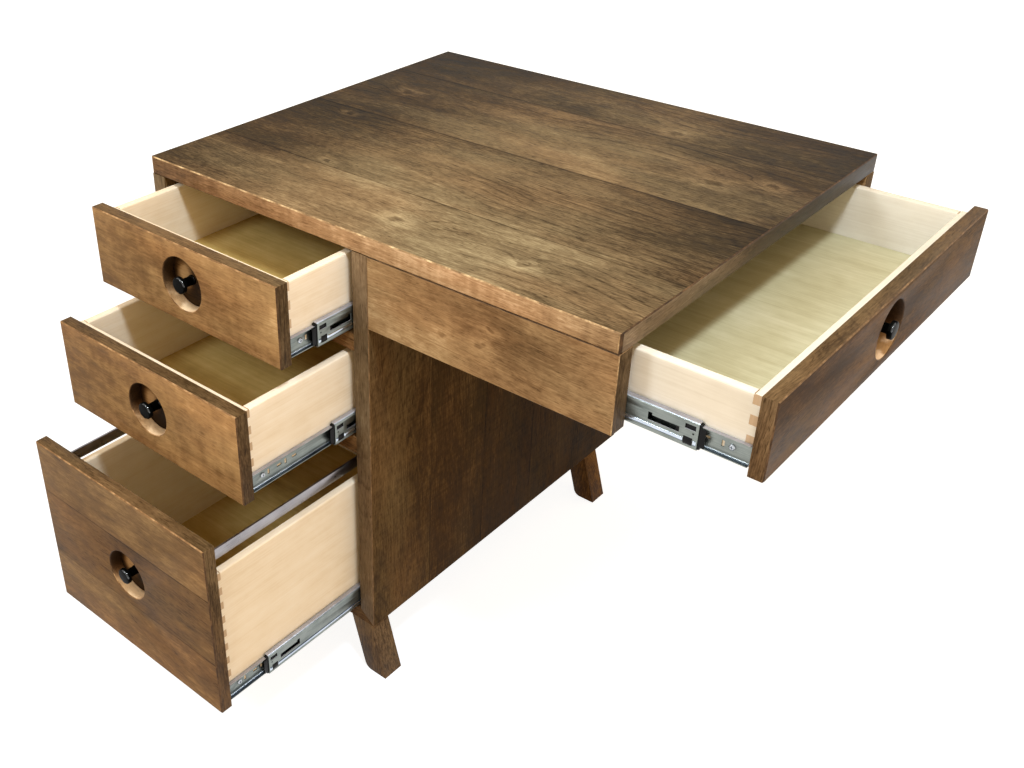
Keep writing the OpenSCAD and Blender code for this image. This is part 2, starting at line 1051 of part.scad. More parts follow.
module side_screws() {
    side_place()
        drawer_screws(pencil_box_w, pencil_box_h, pencil_front_h / 2, pencil_slide_len);
}

top();
left_panel();
right_panel();
back_panel();
bottom_panel();
drawer_rails();
front_apron();
back_apron();
foot_front_left();
foot_front_right();
foot_back_left();
foot_back_right();
foot_screws();
cabinet_members();
cabinet_screws();
top_runners();
top_cages();
middle_runners();
middle_cages();
file_runners();
file_cages();
side_runners();
side_cages();
top_drawer_front();
top_box_front();
top_box_back();
top_box_left();
top_box_right();
top_bottom();
top_knob();
top_drawer_members();
top_screws();
middle_drawer_front();
middle_box_front();
middle_box_back();
middle_box_left();
middle_box_right();
middle_bottom();
middle_knob();
middle_drawer_members();
middle_screws();
file_drawer_front();
file_box_front();
file_box_back();
file_box_left();
file_box_right();
file_bottom();
file_knob();
file_drawer_members();
file_screws();
file_rails();
side_drawer_front();
side_box_front();
side_box_back();
side_box_left();
side_box_right();
side_bottom();
side_knob();
side_drawer_members();
side_screws();
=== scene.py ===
# %% [markdown]
# # A writing desk on a three drawer pedestal
# This notebook dresses the desk's solids for a photograph. The solids, their joints and their
# sizes come from the frame, in metres: X from left to right, Y from front to back, Z up.
# Every piece made here rides on the body of the solid that it stands for, so that the drawers
# can run in and out afterwards.

# %% Load the frame
import json
import math

import bmesh
import bpy
from mathutils import Matrix, Vector

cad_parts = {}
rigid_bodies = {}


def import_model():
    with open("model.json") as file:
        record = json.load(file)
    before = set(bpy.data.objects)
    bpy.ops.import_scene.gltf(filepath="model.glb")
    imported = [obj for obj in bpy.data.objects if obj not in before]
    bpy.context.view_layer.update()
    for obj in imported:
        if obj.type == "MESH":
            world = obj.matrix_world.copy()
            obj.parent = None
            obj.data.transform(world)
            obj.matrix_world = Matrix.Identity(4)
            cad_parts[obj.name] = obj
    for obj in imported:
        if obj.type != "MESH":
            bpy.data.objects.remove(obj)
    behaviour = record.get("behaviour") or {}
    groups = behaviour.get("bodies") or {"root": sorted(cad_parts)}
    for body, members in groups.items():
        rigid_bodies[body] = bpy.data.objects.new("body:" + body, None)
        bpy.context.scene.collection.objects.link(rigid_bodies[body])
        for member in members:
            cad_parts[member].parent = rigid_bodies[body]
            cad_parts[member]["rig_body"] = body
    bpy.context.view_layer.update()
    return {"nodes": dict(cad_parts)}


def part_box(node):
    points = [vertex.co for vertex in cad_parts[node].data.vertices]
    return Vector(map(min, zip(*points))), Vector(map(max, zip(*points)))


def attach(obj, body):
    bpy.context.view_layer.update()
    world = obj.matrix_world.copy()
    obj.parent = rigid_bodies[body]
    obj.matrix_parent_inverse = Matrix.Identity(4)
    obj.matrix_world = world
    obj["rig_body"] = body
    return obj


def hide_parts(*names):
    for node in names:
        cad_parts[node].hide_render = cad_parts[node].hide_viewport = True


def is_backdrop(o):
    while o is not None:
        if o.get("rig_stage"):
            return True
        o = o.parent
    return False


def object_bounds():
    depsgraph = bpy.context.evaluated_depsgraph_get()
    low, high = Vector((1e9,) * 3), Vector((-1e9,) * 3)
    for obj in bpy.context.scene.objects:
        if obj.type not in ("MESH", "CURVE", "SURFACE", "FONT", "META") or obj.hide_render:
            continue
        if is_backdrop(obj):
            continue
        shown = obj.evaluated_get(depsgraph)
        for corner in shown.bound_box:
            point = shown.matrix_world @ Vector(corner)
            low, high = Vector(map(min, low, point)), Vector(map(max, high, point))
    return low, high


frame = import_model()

MM = 0.001
drawers = ("top", "middle", "file", "side")
nodes = frame["nodes"]
desk_low, desk_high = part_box("top")
desk = Vector((desk_low.x, desk_low.y, 0))
print("desk frame corner", [round(v, 4) for v in desk], "nodes", len(nodes))

# %% [markdown]
# ## Where the camera stands
# A photograph has a place, a direction, a slight roll and a lens. The four corners of the top and
# the straight edges of the drawers fix all of them. The picture was cropped off centre, which a
# lens shift repeats without bending any upright line.

# %% Camera
def new_object(name, data):
    """An object in the scene that shows this data."""
    made = bpy.data.objects.new(name, data)
    bpy.context.scene.collection.objects.link(made)
    return made


picture_lens = 40.33
picture_shift = (0.12895, -0.02002)
view_place = Vector((0.8453, -1.1546, 1.3754))
view_azimuth = math.radians(42.39)
view_down = math.radians(31.443)
view_roll = math.radians(-0.747)

camera_data = bpy.data.cameras.new("camera")
camera_data.lens = picture_lens
camera_data.shift_x, camera_data.shift_y = picture_shift
camera = new_object("camera", camera_data)
turn = Matrix.Rotation(view_azimuth, 4, "Z") @ Matrix.Rotation(math.pi / 2 - view_down, 4, "X")
camera.matrix_world = Matrix.Translation(view_place) @ turn @ Matrix.Rotation(view_roll, 4, "Z")
bpy.context.scene.camera = camera
print("camera to desk corner", round((view_place - desk).length, 3), "m")

# %% [markdown]
# ## Helpers that write node trees
# Materials, the world and geometry trees are all made of nodes. One function that adds a node,
# sets its properties and joins or fills its sockets keeps every tree as short as its recipe. A
# socket knows its own tree, so steps that start from a socket need no other word of where they go.

# %% Node helpers
def put(tree, kind, inputs=None, **settings):
    """Adds a node. Each input is a value, an output socket, or a node for its first output."""
    made = tree.nodes.new(kind)
    for key, value in settings.items():
        setattr(made, key, value)
    for key, value in (inputs or {}).items():
        if isinstance(value, bpy.types.Node):
            value = value.outputs[0]
        if isinstance(value, bpy.types.NodeSocket):
            tree.links.new(value, made.inputs[key])
        else:
            made.inputs[key].default_value = value
    return made


def tree_of(*things):
    """The tree of the first socket or node among these. The plain values belong to no tree."""
    return next(thing.id_data for thing in things if isinstance(thing, bpy.types.bpy_struct))


def calc(operation, a, b=0.0, c=0.0):
    """One step of arithmetic on two or three numbers, of which one or more are sockets."""
    tree = tree_of(a, b, c)
    return put(tree, "ShaderNodeMath", {0: a, 1: b, 2: c}, operation=operation).outputs[0]


def times(a, b):
    """a times b."""
    return calc("MULTIPLY", a, b)


def stretched(value, factor, offset):
    """value times factor plus offset."""
    return calc("MULTIPLY_ADD", value, factor, offset)


def vector(x, y, z):
    """Three numbers, of which one or more are sockets, as one vector."""
    return put(tree_of(x, y, z), "ShaderNodeCombineXYZ", {0: x, 1: y, 2: z}).outputs[0]


def split(place):
    """The X, Y and Z of a vector, as three sockets."""
    return put(tree_of(place), "ShaderNodeSeparateXYZ", {0: place}).outputs


def vector_step(operation, place, other=(0.0, 0.0, 0.0)):
    """A node that takes one step of vector arithmetic from a place."""
    return put(tree_of(place), "ShaderNodeVectorMath", {0: place, 1: other}, operation=operation)


def scaled(place, factors):
    """A vector whose parts are multiplied by three factors."""
    return vector_step("MULTIPLY", place, factors).outputs[0]


def moved_by(place, offset):
    """Adds a vector or a vector socket to a place."""
    return vector_step("ADD", place, offset).outputs[0]


# %% Noise and colour helpers
def cloud(place, factors, detail=2.0, roughness=0.5):
    """Noise from 0 to 1, with so many cells in a metre along each direction."""
    inputs = {"Vector": scaled(place, factors), "Scale": 1.0, "Detail": detail, "Roughness": roughness}
    return put(tree_of(place), "ShaderNodeTexNoise", inputs).outputs[0]


def ramp(value, stops):
    """Turns a number into a colour by stops of (place, colour)."""
    made = put(tree_of(value), "ShaderNodeValToRGB", {0: value})
    elements = made.color_ramp.elements
    while len(elements) < len(stops):
        elements.new(0.5)
    for element, (place, colour) in zip(elements, stops):
        element.position = place
        element.color = colour
    return made.outputs[0]


def span(value, low, high, out_low=0.0, out_high=1.0):
    """Maps low..high to out_low..out_high with soft ends."""
    inputs = {0: value, 1: low, 2: high, 3: out_low, 4: out_high}
    made = put(tree_of(value), "ShaderNodeMapRange", inputs, interpolation_type="SMOOTHSTEP")
    return made.outputs[0]


def srgb(red, green, blue):
    """A colour as it looks on a screen, 0 to 255, as the linear colour that Blender mixes."""
    linear = [v / 12.92 if v <= 0.04045 else ((v + 0.055) / 1.055) ** 2.4
              for v in (red / 255, green / 255, blue / 255)]
    return (*linear, 1.0)


def new_material(name, roughness, gloss=0.5, metallic=0.0):
    """A material with one Principled shader. gloss is how much a smooth face mirrors head on."""
    made = bpy.data.materials.new(name)
    made.use_nodes = True
    tree = made.node_tree
    shader = next(n for n in tree.nodes if n.type == "BSDF_PRINCIPLED")
    values = {"Roughness": roughness, "Specular IOR Level": gloss, "Metallic": metallic}
    for key, value in values.items():
        shader.inputs[key].default_value = value
    print("material", name, "roughness", roughness)
    return made, tree, shader


def painted(shader, value, stops):
    """Colours the surface by a number, with stops of (place, red, green, blue as on a screen)."""
    stops = [(place, srgb(*colour)) for place, *colour in stops]
    tree_of(shader).links.new(ramp(value, stops), shader.inputs["Base Color"])


def dimpled(shader, height, strength, distance):
    """Fine relief on the surface, as deep as distance in metres."""
    inputs = {"Strength": strength, "Distance": distance, "Height": height}
    bump = put(tree_of(shader), "ShaderNodeBump", inputs)
    tree_of(shader).links.new(bump.outputs[0], shader.inputs["Normal"])


def in_object(tree):
    """The place on the piece, in metres. It stays with the piece when that moves."""
    return put(tree, "ShaderNodeTexCoord").outputs["Object"]


print("a middle grey of 128 on a screen is", round(srgb(128, 128, 128)[0], 3), "in a mix")

# %% [markdown]
# ## Light and floor
# The desk stood in a workshop under lamps overhead: the shadow of the top falls into the open
# drawers at about 17 degrees from upright, from the front and the right. A small panel overhead
# gives that shadow, a larger one in front fills the drawer fronts, a low one at the right reaches
# the side drawer. The walls of the room send back amber light, which colours the shadows. The
# floor looks white to the camera but sends back only a little light, as a workshop's does.

# %% World
world_level = 1.0
world_tint = (1.0, 0.71, 0.38, 1.0)
plain_white = (1.0, 1.0, 1.0, 1.0)
world = bpy.data.worlds.new("studio")
bpy.context.scene.world = world
world.use_nodes = True
sky = world.node_tree
sky.nodes.clear()


def seen_directly(tree):
    """1 for what the camera, a reflection or a pane of glass looks at, 0 for soft light."""
    rays = put(tree, "ShaderNodeLightPath")
    first = calc("MAXIMUM", rays.outputs["Is Camera Ray"], rays.outputs["Is Glossy Ray"])
    return calc("MAXIMUM", first, rays.outputs["Is Transmission Ray"])


studio = put(sky, "ShaderNodeBackground", {"Color": world_tint, "Strength": world_level})
white = put(sky, "ShaderNodeBackground", {"Color": plain_white, "Strength": 1.0})
either = put(sky, "ShaderNodeMixShader", {0: seen_directly(sky), 1: studio, 2: white})
put(sky, "ShaderNodeOutputWorld", {0: either})
print("soft light of the room", world_tint[:3], "times", world_level)

# %% Lamps
def panel_lamp(name, place, size, watts):
    """A square lamp that looks at the middle of the desk from a place in the desk's millimetres."""
    lamp_data = bpy.data.lights.new(name, "AREA")
    lamp_data.shape = "SQUARE"
    lamp_data.size = size
    lamp_data.energy = watts
    lamp_data.color = cool_white
    lamp = new_object(name, lamp_data)
    lamp.location = desk + Vector(place) * MM
    away = (lamp.location - desk_middle).normalized()
    lamp.rotation_mode = "QUATERNION"
    lamp.rotation_quaternion = away.to_track_quat("Z", "Y")
    print(name, "at", place, "mm with", watts, "W")


desk_middle = (desk_low + desk_high) / 2
cool_white = (0.91, 0.98, 1.0)
panel_lamp("overhead_lamp", (1180, -415, 2235), 0.24, 24.2)
panel_lamp("front_lamp", (-300, -2200, 2435), 0.6, 28.0)
panel_lamp("right_lamp", (3100, -500, 250), 1.0, 8.0)

# %% Floor
floor_half = 12.0
floor_colour = (0.34, 0.39, 0.50, 1.0)
floor_bounce = (0.44, 0.38, 0.30, 1.0)
near, far = 0.8, 2.4
near_glow, far_glow = 0.88, 1.0
floor_mesh = bpy.data.meshes.new("floor")
corners = [(x * floor_half, y * floor_half, 0.0) for x, y in ((-1, -1), (1, -1), (1, 1), (-1, 1))]
floor_mesh.from_pydata(corners, [], [(0, 1, 2, 3)])
floor = new_object("floor", floor_mesh)
floor_paint, tree, shader = new_material("floor_paint", 1.0)
tree.nodes.remove(shader)
pale = put(tree, "ShaderNodeBsdfDiffuse", {"Color": floor_colour})
under_desk = (desk_middle.x, desk_middle.y, 0.0)
away = vector_step("DISTANCE", in_object(tree), under_desk).outputs["Value"]
strength = span(away, near, far, near_glow, far_glow)
glow = put(tree, "ShaderNodeEmission", {"Color": plain_white, "Strength": strength})
lit = put(tree, "ShaderNodeAddShader", {0: pale, 1: glow})
dull = put(tree, "ShaderNodeBsdfDiffuse", {"Color": floor_bounce})
mixed = put(tree, "ShaderNodeMixShader", {0: seen_directly(tree), 1: dull, 2: lit})
surface = next(n for n in tree.nodes if n.type == "OUTPUT_MATERIAL")
tree.links.new(mixed.outputs[0], surface.inputs[0])
floor_mesh.materials.append(floor_paint)
floor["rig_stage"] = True
bpy.context.scene.view_settings.view_transform = "Standard"
print("floor reaches", floor_half, "m each way")

# %% [markdown]
# ## Stained wood
# The desk is a pale hardwood under a walnut stain and a satin lacquer. A picture of wood would
# repeat and would not turn the corner onto an edge, so the wood is worked out in space instead:
# long streaks, short flecks, clouds where the stain soaked in, and a few growth lines that part
# round the knots. A board then shows the right figure on its face, its edge and its end at once.
# Wide boards are glued up from planks, so each plank takes its own piece of that space.

# %% Wood recipe
umber = [(0.0, srgb(30, 19, 9)), (0.25, srgb(70, 49, 28)), (0.5, srgb(124, 94, 63)),
         (0.75, srgb(172, 138, 98)), (1.0, srgb(222, 190, 148))]
hues = [(0.38, (0.96, 1.03, 1.06, 1.0)), (0.62, (1.02, 0.99, 0.97, 1.0))]
glue_line = 1.6 * MM
rings_per_metre = 90.0
AXES = "XYZ"


def grain_space(tree, along, across, shift):
    """Object coordinates as (along the grain, across it, through the board), shifted a little."""
    apart = split(in_object(tree))
    through = next(a for a in AXES if a not in (along, across))
    order = [apart[AXES.index(a)] for a in (along, across, through)]
    return moved_by(vector(*order), shift)


def planks_of(place, width):
    """Gives each plank its own piece of wood, its own shade and a dark glue line at its edge."""
    number = calc("DIVIDE", split(place)[1], width)
    whole = calc("FLOOR", number)
    random = put(tree_of(place), "ShaderNodeTexWhiteNoise", {"W": whole}, noise_dimensions="1D")
    moved = moved_by(place, scaled(random.outputs["Color"], (6.0, 3.0, 3.0)))
    within = calc("SUBTRACT", number, whole)
    seam = span(within, 1.0 - 2 * glue_line / width, 1.0 - glue_line / width)
    return moved, random.outputs["Value"], seam


def shade_across(place, shades):
    """A shade that changes across the board, by stops of (distance across, change of the value)."""
    start, end = shades[0][0], shades[-1][0]
    reach = end - start
    level = stretched(split(place)[1], 1 / reach, -start / reach)
    stops = [((y - start) / reach, (0.5 + v,) * 3 + (1.0,)) for y, v in shades]
    return ramp(level, stops)


# %% Knots
def square_sum(a, b):
    """a squared plus b squared."""
    return calc("ADD", calc("POWER", a, 2.0), calc("POWER", b, 2.0))


def knot_field(place, knots):
    """How far the growth lines are pushed, how pale the wood round the knots is, how dark inside."""
    flat = split(place)
    wobble = stretched(cloud(place, (60.0, 60.0, 60.0), 2.0), 0.02, -0.01)
    push, halo, heart = 0.0, 0.0, 0.0
    for x, y, size in knots:
        dx = stretched(flat[0], 0.6, -0.6 * x)
        dy = calc("ADD", calc("SUBTRACT", flat[1], y), wobble)
        square = square_sum(dx, dy)
        far = calc("SQRT", square)
        hill = calc("EXPONENT", times(square, -0.15 / (size * size)))
        push = stretched(hill, size * 2.0, push)
        outside = span(far, size * 0.5, size)
        rim = times(outside, span(far, size, size * 3.0, 1.0, 0.0))
        halo = calc("MAXIMUM", halo, rim)
        heart = calc("MAXIMUM", heart, span(far, size * 0.3, size * 0.8, 1.0, 0.0))
    return push, halo, heart


def weighted(start, terms):
    """start plus each weight times (value - 0.5)."""
    total = start
    for weight, value in terms:
        total = calc("ADD", total, stretched(value, weight, -weight / 2))
    return total


# %% Falloffs of light and tone, and growth lines
def tone_falloff(place, corner, falloff, tone):
    """A tone that falls off round a bright point: painted light on most boards, a darker blotch of
    stain where the depth is below 0. falloff is its place, the reach and the depth.
    """
    (x, y), (reach_x, reach_y), depth = falloff
    apart = moved_by(place, (-corner[0] - x * MM, -corner[1] - y * MM, 0.0))
    apart = scaled(apart, (1 / (reach_x * MM), 1 / (reach_y * MM), 0.0))
    away = vector_step("LENGTH", apart).outputs["Value"]
    return span(away, 0.2, 1.0, tone, tone - depth)


def growth_lines(place, drift, push):
    """Thin lines at even distances from a pith line that dips under and over the board."""
    parts = split(drift)
    dip = stretched(cloud(place, (1.6, 0.4, 0.4), 1.0), 0.24, -0.06)
    below = calc("ADD", parts[2], dip)
    far = calc("ADD", calc("SQRT", square_sum(parts[1], below)), push)
    rough_far = stretched(cloud(place, (9.0, 60.0, 60.0), 3.0), 0.006, far)
    phase = calc("FRACT", times(rough_far, rings_per_metre))
    line = times(span(phase, 0.72, 0.92), span(phase, 0.94, 1.0, 1.0, 0.0))
    return times(line, span(cloud(place, (3.0, 8.0, 8.0), 2.0), 0.42, 0.62))


# %% Stained wood
def stained_wood(name, along, across, tone, shift, plank=0.0, knots=(), contrast=1.0,
                 figure=None, tint=None, gloss=0.06, falloff=None, shades=None, threads=1.0):
    """Walnut stained hardwood whose grain runs along one axis and whose face spans another.
    Knots, falloff and shades are in millimetres from the desk's front left corner at the floor.
    On some boards the falloff and the shades are painted light and shade."""
    roughness = 0.5
    made, tree, shader = new_material("stain_" + name, roughness, gloss)
    place = grain_space(tree, along, across, shift)
    corner = [desk[AXES.index(axis)] + moved for axis, moved in zip((along, across), shift)]
    knots = [(corner[0] + x * MM, corner[1] + y * MM, size * MM) for x, y, size in knots]
    push, halo, heart = knot_field(place, knots) if knots else (0.0, 0.0, 0.0)
    # A falloff darkens the wood away from a point: painted light on the top, its edge and end and the
    # recess floors, a blotch of stain on the apron
    if falloff:
        tone = tone_falloff(place, corner, falloff, tone)
    # Shades across the board: painted light and shade on the top, the panels and the bore walls, along
    # with the planks' own tones
    if shades:
        levels = [(corner[1] + y * MM, change) for y, change in shades]
        tone = weighted(tone, [(1.0, shade_across(place, levels))])
    if plank:
        place, shade, seam = planks_of(place, plank)
    # The fibres wander a little as they run
    slow = scaled(place, (2.4, 5.0, 5.0))
    sway = put(tree, "ShaderNodeTexNoise", {"Vector": slow, "Scale": 1.0})
    drift = moved_by(place, scaled(sway.outputs["Color"], (0.0, 0.05, 0.05)))
    line = growth_lines(place, drift, push)
    # Flecks and streaks follow the fibres, clouds and mottles are where the stain soaked in
    streak = cloud(drift, (4.0, 560.0, 560.0), 2.0, 0.6)
    fleck = cloud(drift, (90.0, 380.0, 380.0), 3.0, 0.7)
    band = cloud(drift, (0.9, 24.0, 24.0), 2.0)
    clouds = cloud(place, (6.0, 14.0, 14.0), 3.0, 0.5)
    mottle = cloud(place, (30.0, 70.0, 70.0), 4.0, 0.6)
    pore = span(cloud(drift, (75.0, 700.0, 700.0), 1.0), 0.60, 0.72)
    # c weighs the clouds, t weighs what runs in threads
    c, t = contrast, contrast * threads
    terms = [(0.42 * c, clouds), (0.36 * c, mottle), (0.40 * t, streak), (0.42 * t, fleck),
             (0.20 * t, band)]
    if figure:
        weight, cells_along, cells_across = figure
        terms.append((weight, cloud(drift, (cells_along, cells_across, cells_across), 2.0)))
    value = weighted(tone, terms)
    value = stretched(pore, -0.16 * t, value)
    value = stretched(line, -0.11 * t * t, value)
    if plank:
        value = weighted(value, [(0.04 if shades else 0.14, shade)])
        value = stretched(seam, -0.2 * c * t, value)
    if knots:
        value = stretched(halo, 0.13, value)
        value = stretched(heart, -0.05, value)
    hue = ramp(cloud(place, (4.0, 11.0, 11.0), 3.0), hues)
    colour = scaled(ramp(value, umber), hue)
    if tint:
        colour = scaled(colour, tint)
    tree.links.new(colour, shader.inputs["Base Color"])
    satin = weighted(roughness, [(0.2, streak), (0.2, mottle)])
    tree.links.new(satin, shader.inputs["Roughness"])
    dimpled(shader, stretched(pore, -0.6, fleck), 0.2, 0.3 * MM)
    return made


# %% [markdown]
# ## A stain for each board
# No two boards of a desk look alike: each is cut from another plank and takes up its own amount of
# stain. So each board gets its own tone and tint and its own piece of the wood's space by a shift.
# Some also get a soft change of tone. On the top, its edge and its end a falloff is painted light:
# the pool of the lamps and the duller light further off; the end's cool tint is a painted sheen. The
# shades across the top and the panels are the planks' own tones together with painted shade deeper
# under the desk. On the apron a falloff darkens a blotch of stain, and on the drawer fronts one
# darkens the wood away from a point. Knots, falloffs and shades are written in millimetres from the
# desk's front left corner, so that they can be measured on the desk itself. Each knot is its place
# and its size. A falloff is the place of the bright point, how far its light reaches along and
# across the board, and how much darker the wood gets.

# %% Finish of the top
plank_width = 205 * MM
first_seam = 142 * MM
top_shift = (3.0, 4 * plank_width - desk.y - first_seam, 1.0)
top_knots = [(623, 65, 7), (422, 66, 9), (673, 438, 12), (741, 477, 8), (538, 574, 9), (100, 464, 9),
             (97, 325, 6), (212, 152, 6)]
# Across the top: the planks' own tones together with a painted shade that deepens towards the back
top_shades = [(0, 0.04), (130, 0.03), (142, 0.0), (220, -0.04), (300, -0.09), (347, -0.11),
              (350, -0.04), (440, -0.03), (540, -0.05), (553, -0.10), (690, -0.16)]
# The top's falloff paints the pool of lamplight near the front middle
top_stain_and_light = stained_wood(
    "top", "X", "Y", 0.495, top_shift, plank=plank_width, knots=top_knots, shades=top_shades,
    falloff=((450, 120), (470, 1300), 0.27), tint=(0.89, 1.13, 1.42), contrast=0.9, threads=1.1,
    gloss=0.03)
# The front edge's falloff paints the same pool of light
edge_stain_and_light = stained_wood(
    "top_edge", "X", "Z", 0.76, (0.4, 0.1, 3.0), falloff=((500, 750), (500, 1000), 0.28),
    figure=(0.30, 80.0, 14.0), tint=(0.99, 1.02, 1.2), contrast=0.9)
# The end's falloff paints the light dimming towards the back, and its cool tint a painted sheen on the
# end grain
top_end_stain_and_sheen = stained_wood(
    "top_end", "Y", "Z", 0.48, (1.7, 0.4, 0.9), falloff=((0, 750), (420, 1000), 0.34),
    tint=(0.91, 1.16, 1.65), contrast=0.8, gloss=0.3)

# %% Finishes of the apron and the drawer fronts
apron_knots = [(554, 668, 6), (626, 701, 5), (613, 676, 7)]
# The upper faces of the drawer fronts are greyer and cooler than their fronts: a painted sheen of the
# light from above
sheen_look = {"shift": (0.9, 0.3, 0.9), "tint": (0.92, 1.06, 1.2)}
stain_apron = stained_wood(
    "apron", "X", "Z", 0.528, (0.7, -0.62, 2.0), knots=apron_knots,
    falloff=((680, 680), (270, 100), -0.19), figure=(0.12, 40.0, 9.0), tint=(0.97, 1.02, 1.14),
    contrast=1.15, threads=0.7)
stain_front = stained_wood(
    "front", "X", "Z", 0.64, (5.3, -0.45, 0.0), falloff=((350, 550), (340, 2000), 0.10),
    figure=(0.22, 70.0, 30.0), tint=(0.99, 1.0, 1.0), contrast=1.15, threads=0.5)
stain_file = stained_wood("file", "X", "Z", 0.47, (8.1, -0.10, 0.0), plank=115 * MM,
                          tint=(0.97, 1.04, 1.12), contrast=1.1, threads=0.6)
stain_side_front = stained_wood("side_front", "Y", "Z", 0.315, (2.2, -0.60, 0.0),
                                tint=(0.94, 1.01, 1.14), threads=0.7)
front_top_sheen = stained_wood("front_top", "X", "Y", 0.36, contrast=0.8, **sheen_look)
side_top_sheen = stained_wood("side_top", "Y", "X", 0.35, contrast=0.7, **sheen_look)

# %% Finishes of the panels, the feet and the rails
# Across the panels: the planks' own tones together with painted light on the front board and a painted
# shade that deepens under the desk
upright_shades = [(0, 0.14), (60, 0.14), (64, 0.11), (130, 0.07), (220, 0.03), (310, -0.06),
                  (440, -0.10), (690, -0.03)]
upright_stain_and_shade = stained_wood(
    "upright", "Z", "Y", 0.23, (4.4, 0.20, 0.0), plank=135 * MM, shades=upright_shades,
    figure=(0.12, 210.0, 6.0), tint=(0.93, 1.04, 1.10), contrast=0.7, gloss=0.01)
stain_foot = stained_wood("foot", "Z", "Y", 0.39, (6.6, 0.05, 0.0), tint=(0.92, 1.1, 1.4),
                          gloss=0.12)
stain_back_foot = stained_wood("back_foot", "Z", "Y", 0.34, (6.1, 0.05, 0.0), tint=(1.0, 0.96, 0.8))
stain_rail = stained_wood("rail", "X", "Y", 0.36, (1.9, 0.05, 0.0))
stain_stile = stained_wood("stile", "Z", "X", 0.465, (2.6, 0.05, 0.0), tint=(0.94, 1.17, 1.6),
                           contrast=0.8)
end_along_z = stained_wood("end_upright", "Z", "Y", 0.34, (1.2, 0.4, 0.9), tint=(0.96, 1.12, 1.4))

# %% [markdown]
# ## Finger recesses and arrises
# Each front is bored through behind its knob for the fingers. The wall of the bore is painted paler
# below, where the light falls on it, and darker above, in the shadow of the rim; the box's own front
# closes it at the back, with a painted lit patch beside the knob. The arrises, which are the long
# edges between two faces, lose their stain to sandpaper and cloth, so they get plain finishes of their
# own that are a little ragged. The pale ones also carry a painted highlight; those that look away from
# the light, and those of the side front and the panels, get a painted shade.

# %% Finishes of a finger recess
def recess_stains(drawer):
    """Inside a finger recess: the wall, painted paler below where the light falls and darker above in
    the rim's shadow, and the floor, with a painted lit patch beside the knob.
    """
    low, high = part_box(f"{drawer}_knob")
    knob = ((low + high) / 2 - desk) / MM
    beside, along = (knob.y, "Y") if drawer == "side" else (knob.x, "X")
    wall = stained_wood(f"{drawer}_bore", along, "Z", 0.5, recess_shift, contrast=0.5, gloss=0.2,
                        tint=(1.2, 1.25, 1.45), shades=[(knob.z + z, v) for z, v in bore_light_and_shade])
    bright = (beside + lit_spot[0], knob.z + lit_spot[1])
    floor = stained_wood(f"{drawer}_recess", along, "Z", 0.76, recess_shift, contrast=0.6, gloss=0.05,
                         falloff=(bright, lit_reach, 0.72))
    return wall, floor


recess_shift = (2.2, 0.4, 0.9)
# Place and reach of the painted lit patch on the recess floor, and the painted light and shade of the
# bore wall, in millimetres from the knob
lit_spot = (-15, 3)
lit_reach = (24, 31)
bore_light_and_shade = [(-40, 0.5), (-34, 0.47), (-28, 0.28), (-18, -0.06), (-4, -0.36), (40, -0.42)]
recesses = {drawer: recess_stains(drawer) for drawer in drawers}

# %% Finishes of the arrises
def arris_wood(name, dark, middle, light):
    """Sandpaper and cloth leave the arrises paler and a little ragged; paler and darker finishes also
    paint highlight and shade on them.
    """
    made, tree, shader = new_material(name, 0.45, 0.15)
    ragged = cloud(in_object(tree), (60.0, 60.0, 60.0), 4.0, 0.65)
    painted(shader, ragged, [(0.3, *dark), (0.5, *middle), (0.7, *light)])
    return made


# Pale worn arrises, which also hold a painted highlight; the side arris paints the shade of the side
# front and the panels, the dark arris the shade on bevels that look away from the light
arris_worn_lit = arris_wood("worn_lit_arris", (96, 76, 54), (158, 130, 96), (224, 200, 160))
arris_soft = arris_wood("soft_arris", (96, 72, 48), (140, 108, 74), (196, 162, 122))
arris_shade = arris_wood("shade_arris", (78, 60, 41), (108, 84, 58), (146, 118, 86))
arris_shadow = arris_wood("shadow_arris", (46, 33, 21), (74, 54, 36), (112, 86, 60))

# %% [markdown]
# ## Copies with soft edges
# A machined board has no edge of zero width: sandpaper always leaves a small round, and that
# round is what catches the light. Each stained board is a copy of its solid. Its loose triangles
# are merged and flat areas cleaned, the narrow bevels get a worn finish with a painted highlight or
# a painted shade, and a Bevel modifier rounds what is still sharp. The copy then takes the solid's
# place and rides on its body.

# %% Dressing helpers
merge_reach = 0.001 * MM
flat_angle = math.radians(0.4)
sharp_angle = math.radians(28)


def merged_mesh(source):
    """The mesh of a solid with its doubles merged and its flat faces joined, as a bmesh."""
    mesh = bmesh.new()
    mesh.from_mesh(nodes[source].data)
    bmesh.ops.remove_doubles(mesh, verts=mesh.verts, dist=merge_reach)
    bmesh.ops.dissolve_limit(mesh, angle_limit=flat_angle, verts=mesh.verts, edges=mesh.edges)
    return mesh


def to_object(name, mesh, materials):
    """A new object at the origin from a bmesh."""
    data = bpy.data.meshes.new(name)
    mesh.to_mesh(data)
    mesh.free()
    for material in materials:
        data.materials.append(material)
    return new_object(name, data)


def baked(thing):
    """Applies an object's modifiers to its mesh."""
    bpy.context.view_layer.update()
    depsgraph = bpy.context.evaluated_depsgraph_get()
    final = bpy.data.meshes.new_from_object(thing.evaluated_get(depsgraph))
    thing.modifiers.clear()
    thing.data = final
    return thing


def softened(thing, width):
    """Rounds every sharp edge by a Bevel modifier and smooths the shading over it."""
    for face in thing.data.polygons:
        face.use_smooth = True
    bevel = thing.modifiers.new("edges", "BEVEL")
    bevel.width = width
    bevel.segments = 2
    bevel.limit_method = "ANGLE"
    bevel.angle_limit = sharp_angle
    bevel.harden_normals = True
    return baked(thing)


def stand_for(thing, source):
    """The piece moves with the solid's body and is shown in its place."""
    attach(thing, nodes[source]["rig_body"])
    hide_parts(source)
    print(thing.name, "stands for", source, "with", len(thing.data.polygons), "faces")


